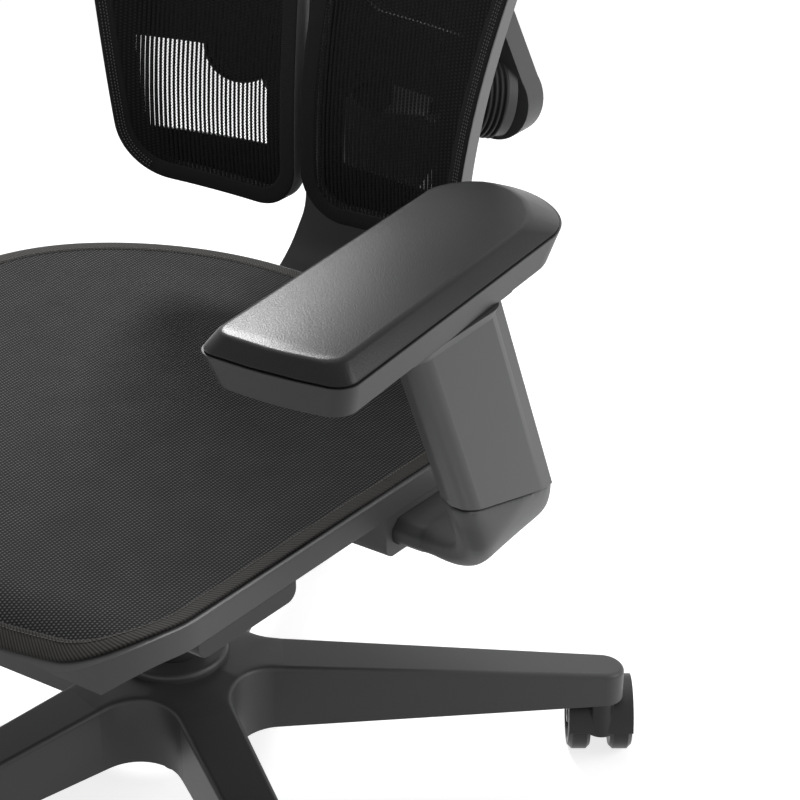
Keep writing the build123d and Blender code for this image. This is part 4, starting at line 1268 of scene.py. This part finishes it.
@dataclass
class HubStar:
    """The moulded skin over the hub, where the legs meet in wide hollow curves."""

    chair: Chair
    centre: tuple[float, float] = (11.249 * MM, -12.724 * MM)
    legs: int = 5
    first_leg: float = math.radians(39.0)
    root_half: float = 24.0 * MM
    taper: float = 7.5 / 341.0
    bottom: float = 63.2 * MM
    top: float = 127.0 * MM
    fall: float = 35.0 / 341.0
    hollow: float = 36.0 * MM
    overlap: float = 16.0 * MM
    edge_round: float = 4.0 * MM
    core: float = 42.0 * MM
    skin: float = 0.25 * MM
    sink: float = 3.0
    tail: tuple[float, ...] = (0.35, 0.7, 1.0)
    arc_points: int = 33
    rounding: int = 5
    spokes: int = 5
    crease: float = math.radians(35)

    def outline(self) -> tuple[np.ndarray, np.ndarray, float]:
        """Draw the star's plan about the hub.

        Returns:
            The points, anticlockwise, their outward normals, and how far out along the legs the
            hollows end.
        """
        half_turn = math.pi / self.legs
        flare = half_turn + math.atan(self.taper)
        corner = (self.root_half + self.skin) / (math.tan(half_turn) + self.taper)
        middle = corner / math.cos(half_turn) + self.hollow / math.sin(flare)
        turns = np.linspace(flare - math.pi / 2, math.pi / 2 - flare, self.arc_points)
        arc = np.column_stack([middle - self.hollow * np.cos(turns), self.hollow * np.sin(turns)])
        way = np.array([math.cos(flare), math.sin(flare)])
        sink = np.array([-way[1], way[0]]) * self.sink * self.skin
        tail = np.array([arc[-1] + (way * self.overlap + sink) * share for share in self.tail])
        fifth = np.vstack([tail[::-1] * (1, -1), arc, tail])
        outward = outward_of(np.gradient(fifth, axis=0))
        loop, normals = [], []
        for leg in range(self.legs):
            turn = self.first_leg + half_turn * (2 * leg + 1)
            cos, sin = math.cos(turn), math.sin(turn)
            spin = np.array([[cos, sin], [-sin, cos]])
            loop.append(fifth @ spin)
            normals.append(outward @ spin)
        end = arc[-1] @ np.array([math.cos(half_turn), math.sin(half_turn)])
        return np.vstack(loop), np.vstack(normals), float(end)

    def height(self, plan: np.ndarray, end: float) -> np.ndarray:
        """Give the star's top over places in its plan.

        Args:
            plan: The places.
            end: How far out along the legs the hollows end.

        Returns:
            The heights, just above the legs' tops and dipping into them beyond the hollows.
        """
        turns = self.first_leg + np.arange(self.legs) * 2 * math.pi / self.legs
        out = (plan @ np.array([np.cos(turns), np.sin(turns)])).max(axis=1)
        dip = np.clip((out - end) / self.overlap, 0.0, 1.0)
        return self.top - self.fall * out + self.skin * (1 - self.sink * dip)

    def build(self) -> None:
        """Make the star as one closed skin and let it ride on the base."""
        plan, outward, end = self.outline()
        inner = plan * (self.core / np.linalg.norm(plan, axis=1))[:, None]
        brink = plan - outward * self.edge_round
        rows = []
        for share in np.linspace(0.0, 1.0, self.spokes):
            spot = inner + (brink - inner) * share
            rows.append(np.column_stack([spot, self.height(spot, end)]))
        for turn in np.linspace(0.0, math.pi / 2, self.rounding)[1:]:
            spot = plan - outward * self.edge_round * (1 - math.sin(turn))
            level = self.height(brink, end) - self.edge_round * (1 - math.cos(turn))
            rows.append(np.column_stack([spot, level]))
        floor = np.full(len(plan), self.bottom)
        rows.extend(np.column_stack([spot, floor]) for spot in (plan, inner))
        points = np.array(rows) + np.array([*self.centre, 0.0])
        mesh = grid_mesh("hub_star", points, points[:, :, :2], closed=True)
        face_outward(mesh)
        mesh.set_sharp_from_angle(angle=self.crease)
        star = self.chair.piece("hub_star", mesh, "base", "base")


@dataclass
class Understructure:
    """The base, casters, gas lift and tilt mechanism."""

    chair: Chair
    casters: int = 5

    def build(self) -> None:
        """Dress everything below the seat."""
        dress = self.chair.dress
        dress("base", "star_base")
        HubStar(self.chair).build()
        dress("paint", "lift_tube", "mechanism_housing", "mechanism_cover")
        dress("chrome", "lift_cylinder")
        dress("steel", "lift_rod", "lift_clip", "thrust_bearing", "seat_shaft", "tilt_shaft")
        dress("shell", "guide_bush", "tension_knob", "height_lever", "tilt_lock_lever")
        dress("rubber", "torsion_spring")
        for number in range(1, self.casters + 1):
            dress("shell", f"caster_hood_{number}")
            dress("wheel", f"caster_wheels_{number}")
            dress("steel", f"caster_axle_{number}")


@dataclass(frozen=True)
class Lamp:
    """A square soft lamp, with its side in metres and its power in watts."""

    name: str
    place: Triple
    target: Triple
    size: float
    power: float

    def build(self) -> None:
        """Hang the lamp and point it at its target."""
        data = bpy.data.lights.new(self.name, "AREA")
        data.size = self.size
        data.energy = self.power
        lamp = add_object(self.name, data)
        lamp.location = self.place
        way = Vector(self.target) - Vector(self.place)
        lamp.rotation_euler = way.to_track_quat("-Z", "Y").to_euler()


@dataclass(frozen=True)
class Studio:
    """White floor, soft lamps and the camera at the photographed angle."""

    azimuth: float = math.radians(34.2)
    elevation: float = math.radians(27.44)
    place: Triple = (0.93733, -1.06098, 1.06579)
    lens: float = 95.86
    sensor: float = 36.0
    ambient: float = 0.26
    floor_tone: float = 0.62
    floor_glow: float = 0.77
    floor_reach: float = 30.0
    lamps: tuple[Lamp, ...] = (
        Lamp("top_lamp", (-0.3, 0.2, 2.7), (0.0, 0.0, 0.4), size=2.2, power=13.0),
        Lamp("side_lamp", (2.3, 1.1, 1.4), (0.2, 0.0, 0.4), size=1.4, power=26.0),
        Lamp("rear_lamp", (-0.9, 0.85, 1.59), (0.33, -0.29, 0.58), size=0.45, power=23.0),
    )

    def build(self) -> None:
        """Make the floor, lights and camera."""
        self.floor()
        self.world()
        for lamp in self.lamps:
            lamp.build()
        self.camera()
        bpy.context.scene.view_settings.view_transform = "Standard"

    def floor(self) -> None:
        """Lay a wide white floor that keeps a faint shadow."""
        far = self.floor_reach
        corners = [(-far, -far, 0), (far, -far, 0), (far, far, 0), (-far, far, 0)]
        mesh = bpy.data.meshes.new("studio_floor")
        mesh.from_pydata(corners, [], [(0, 1, 2, 3)])
        floor = add_object("studio_floor", mesh)
        bench = Bench("studio_white")
        matt = bench.add("ShaderNodeBsdfDiffuse", Color=(*(self.floor_tone,) * 3, 1.0))
        strength = bench.maths("MULTIPLY", bench.seen(), self.floor_glow)
        glow = bench.add("ShaderNodeEmission", Color=WHITE, Strength=strength)
        both = bench.add("ShaderNodeAddShader")
        for target, shader in zip(both.inputs, (matt, glow)):
            bench.put(target, shader)
        bench.put(bench.output, both)
        mesh.materials.append(bench.made)
        floor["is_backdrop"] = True

    def world(self) -> None:
        """Set a surround that is white to the camera and lights at a plain level."""
        bench = Bench("studio", world=True)
        strength = bench.spread(bench.seen(), self.ambient, 1.0)
        bench.put(bench.output, bench.add("ShaderNodeBackground", Color=WHITE, Strength=strength))
        bpy.context.scene.world = bench.made

    def camera(self) -> None:
        """Set the camera where the photograph was taken."""
        data = bpy.data.cameras.new("camera")
        data.lens = self.lens
        data.sensor_width = self.sensor
        camera = add_object("camera", data)
        level = math.cos(self.elevation)
        east, north = math.sin(self.azimuth) * level, -math.cos(self.azimuth) * level
        back = Vector((east, north, math.sin(self.elevation)))
        camera.location = self.place
        camera.rotation_euler = (-back).to_track_quat("-Z", "Y").to_euler()
        bpy.context.scene.camera = camera


def main() -> None:
    """Build the dressed chair and its studio."""
    logging.basicConfig(level=logging.INFO)
    chair = Chair()
    Understructure(chair).build()
    Seat(chair).build()
    Back(chair).build()
    for side in Side:
        Arm(chair, side).build()
    Studio().build()


if __name__ == "__main__":
    main()
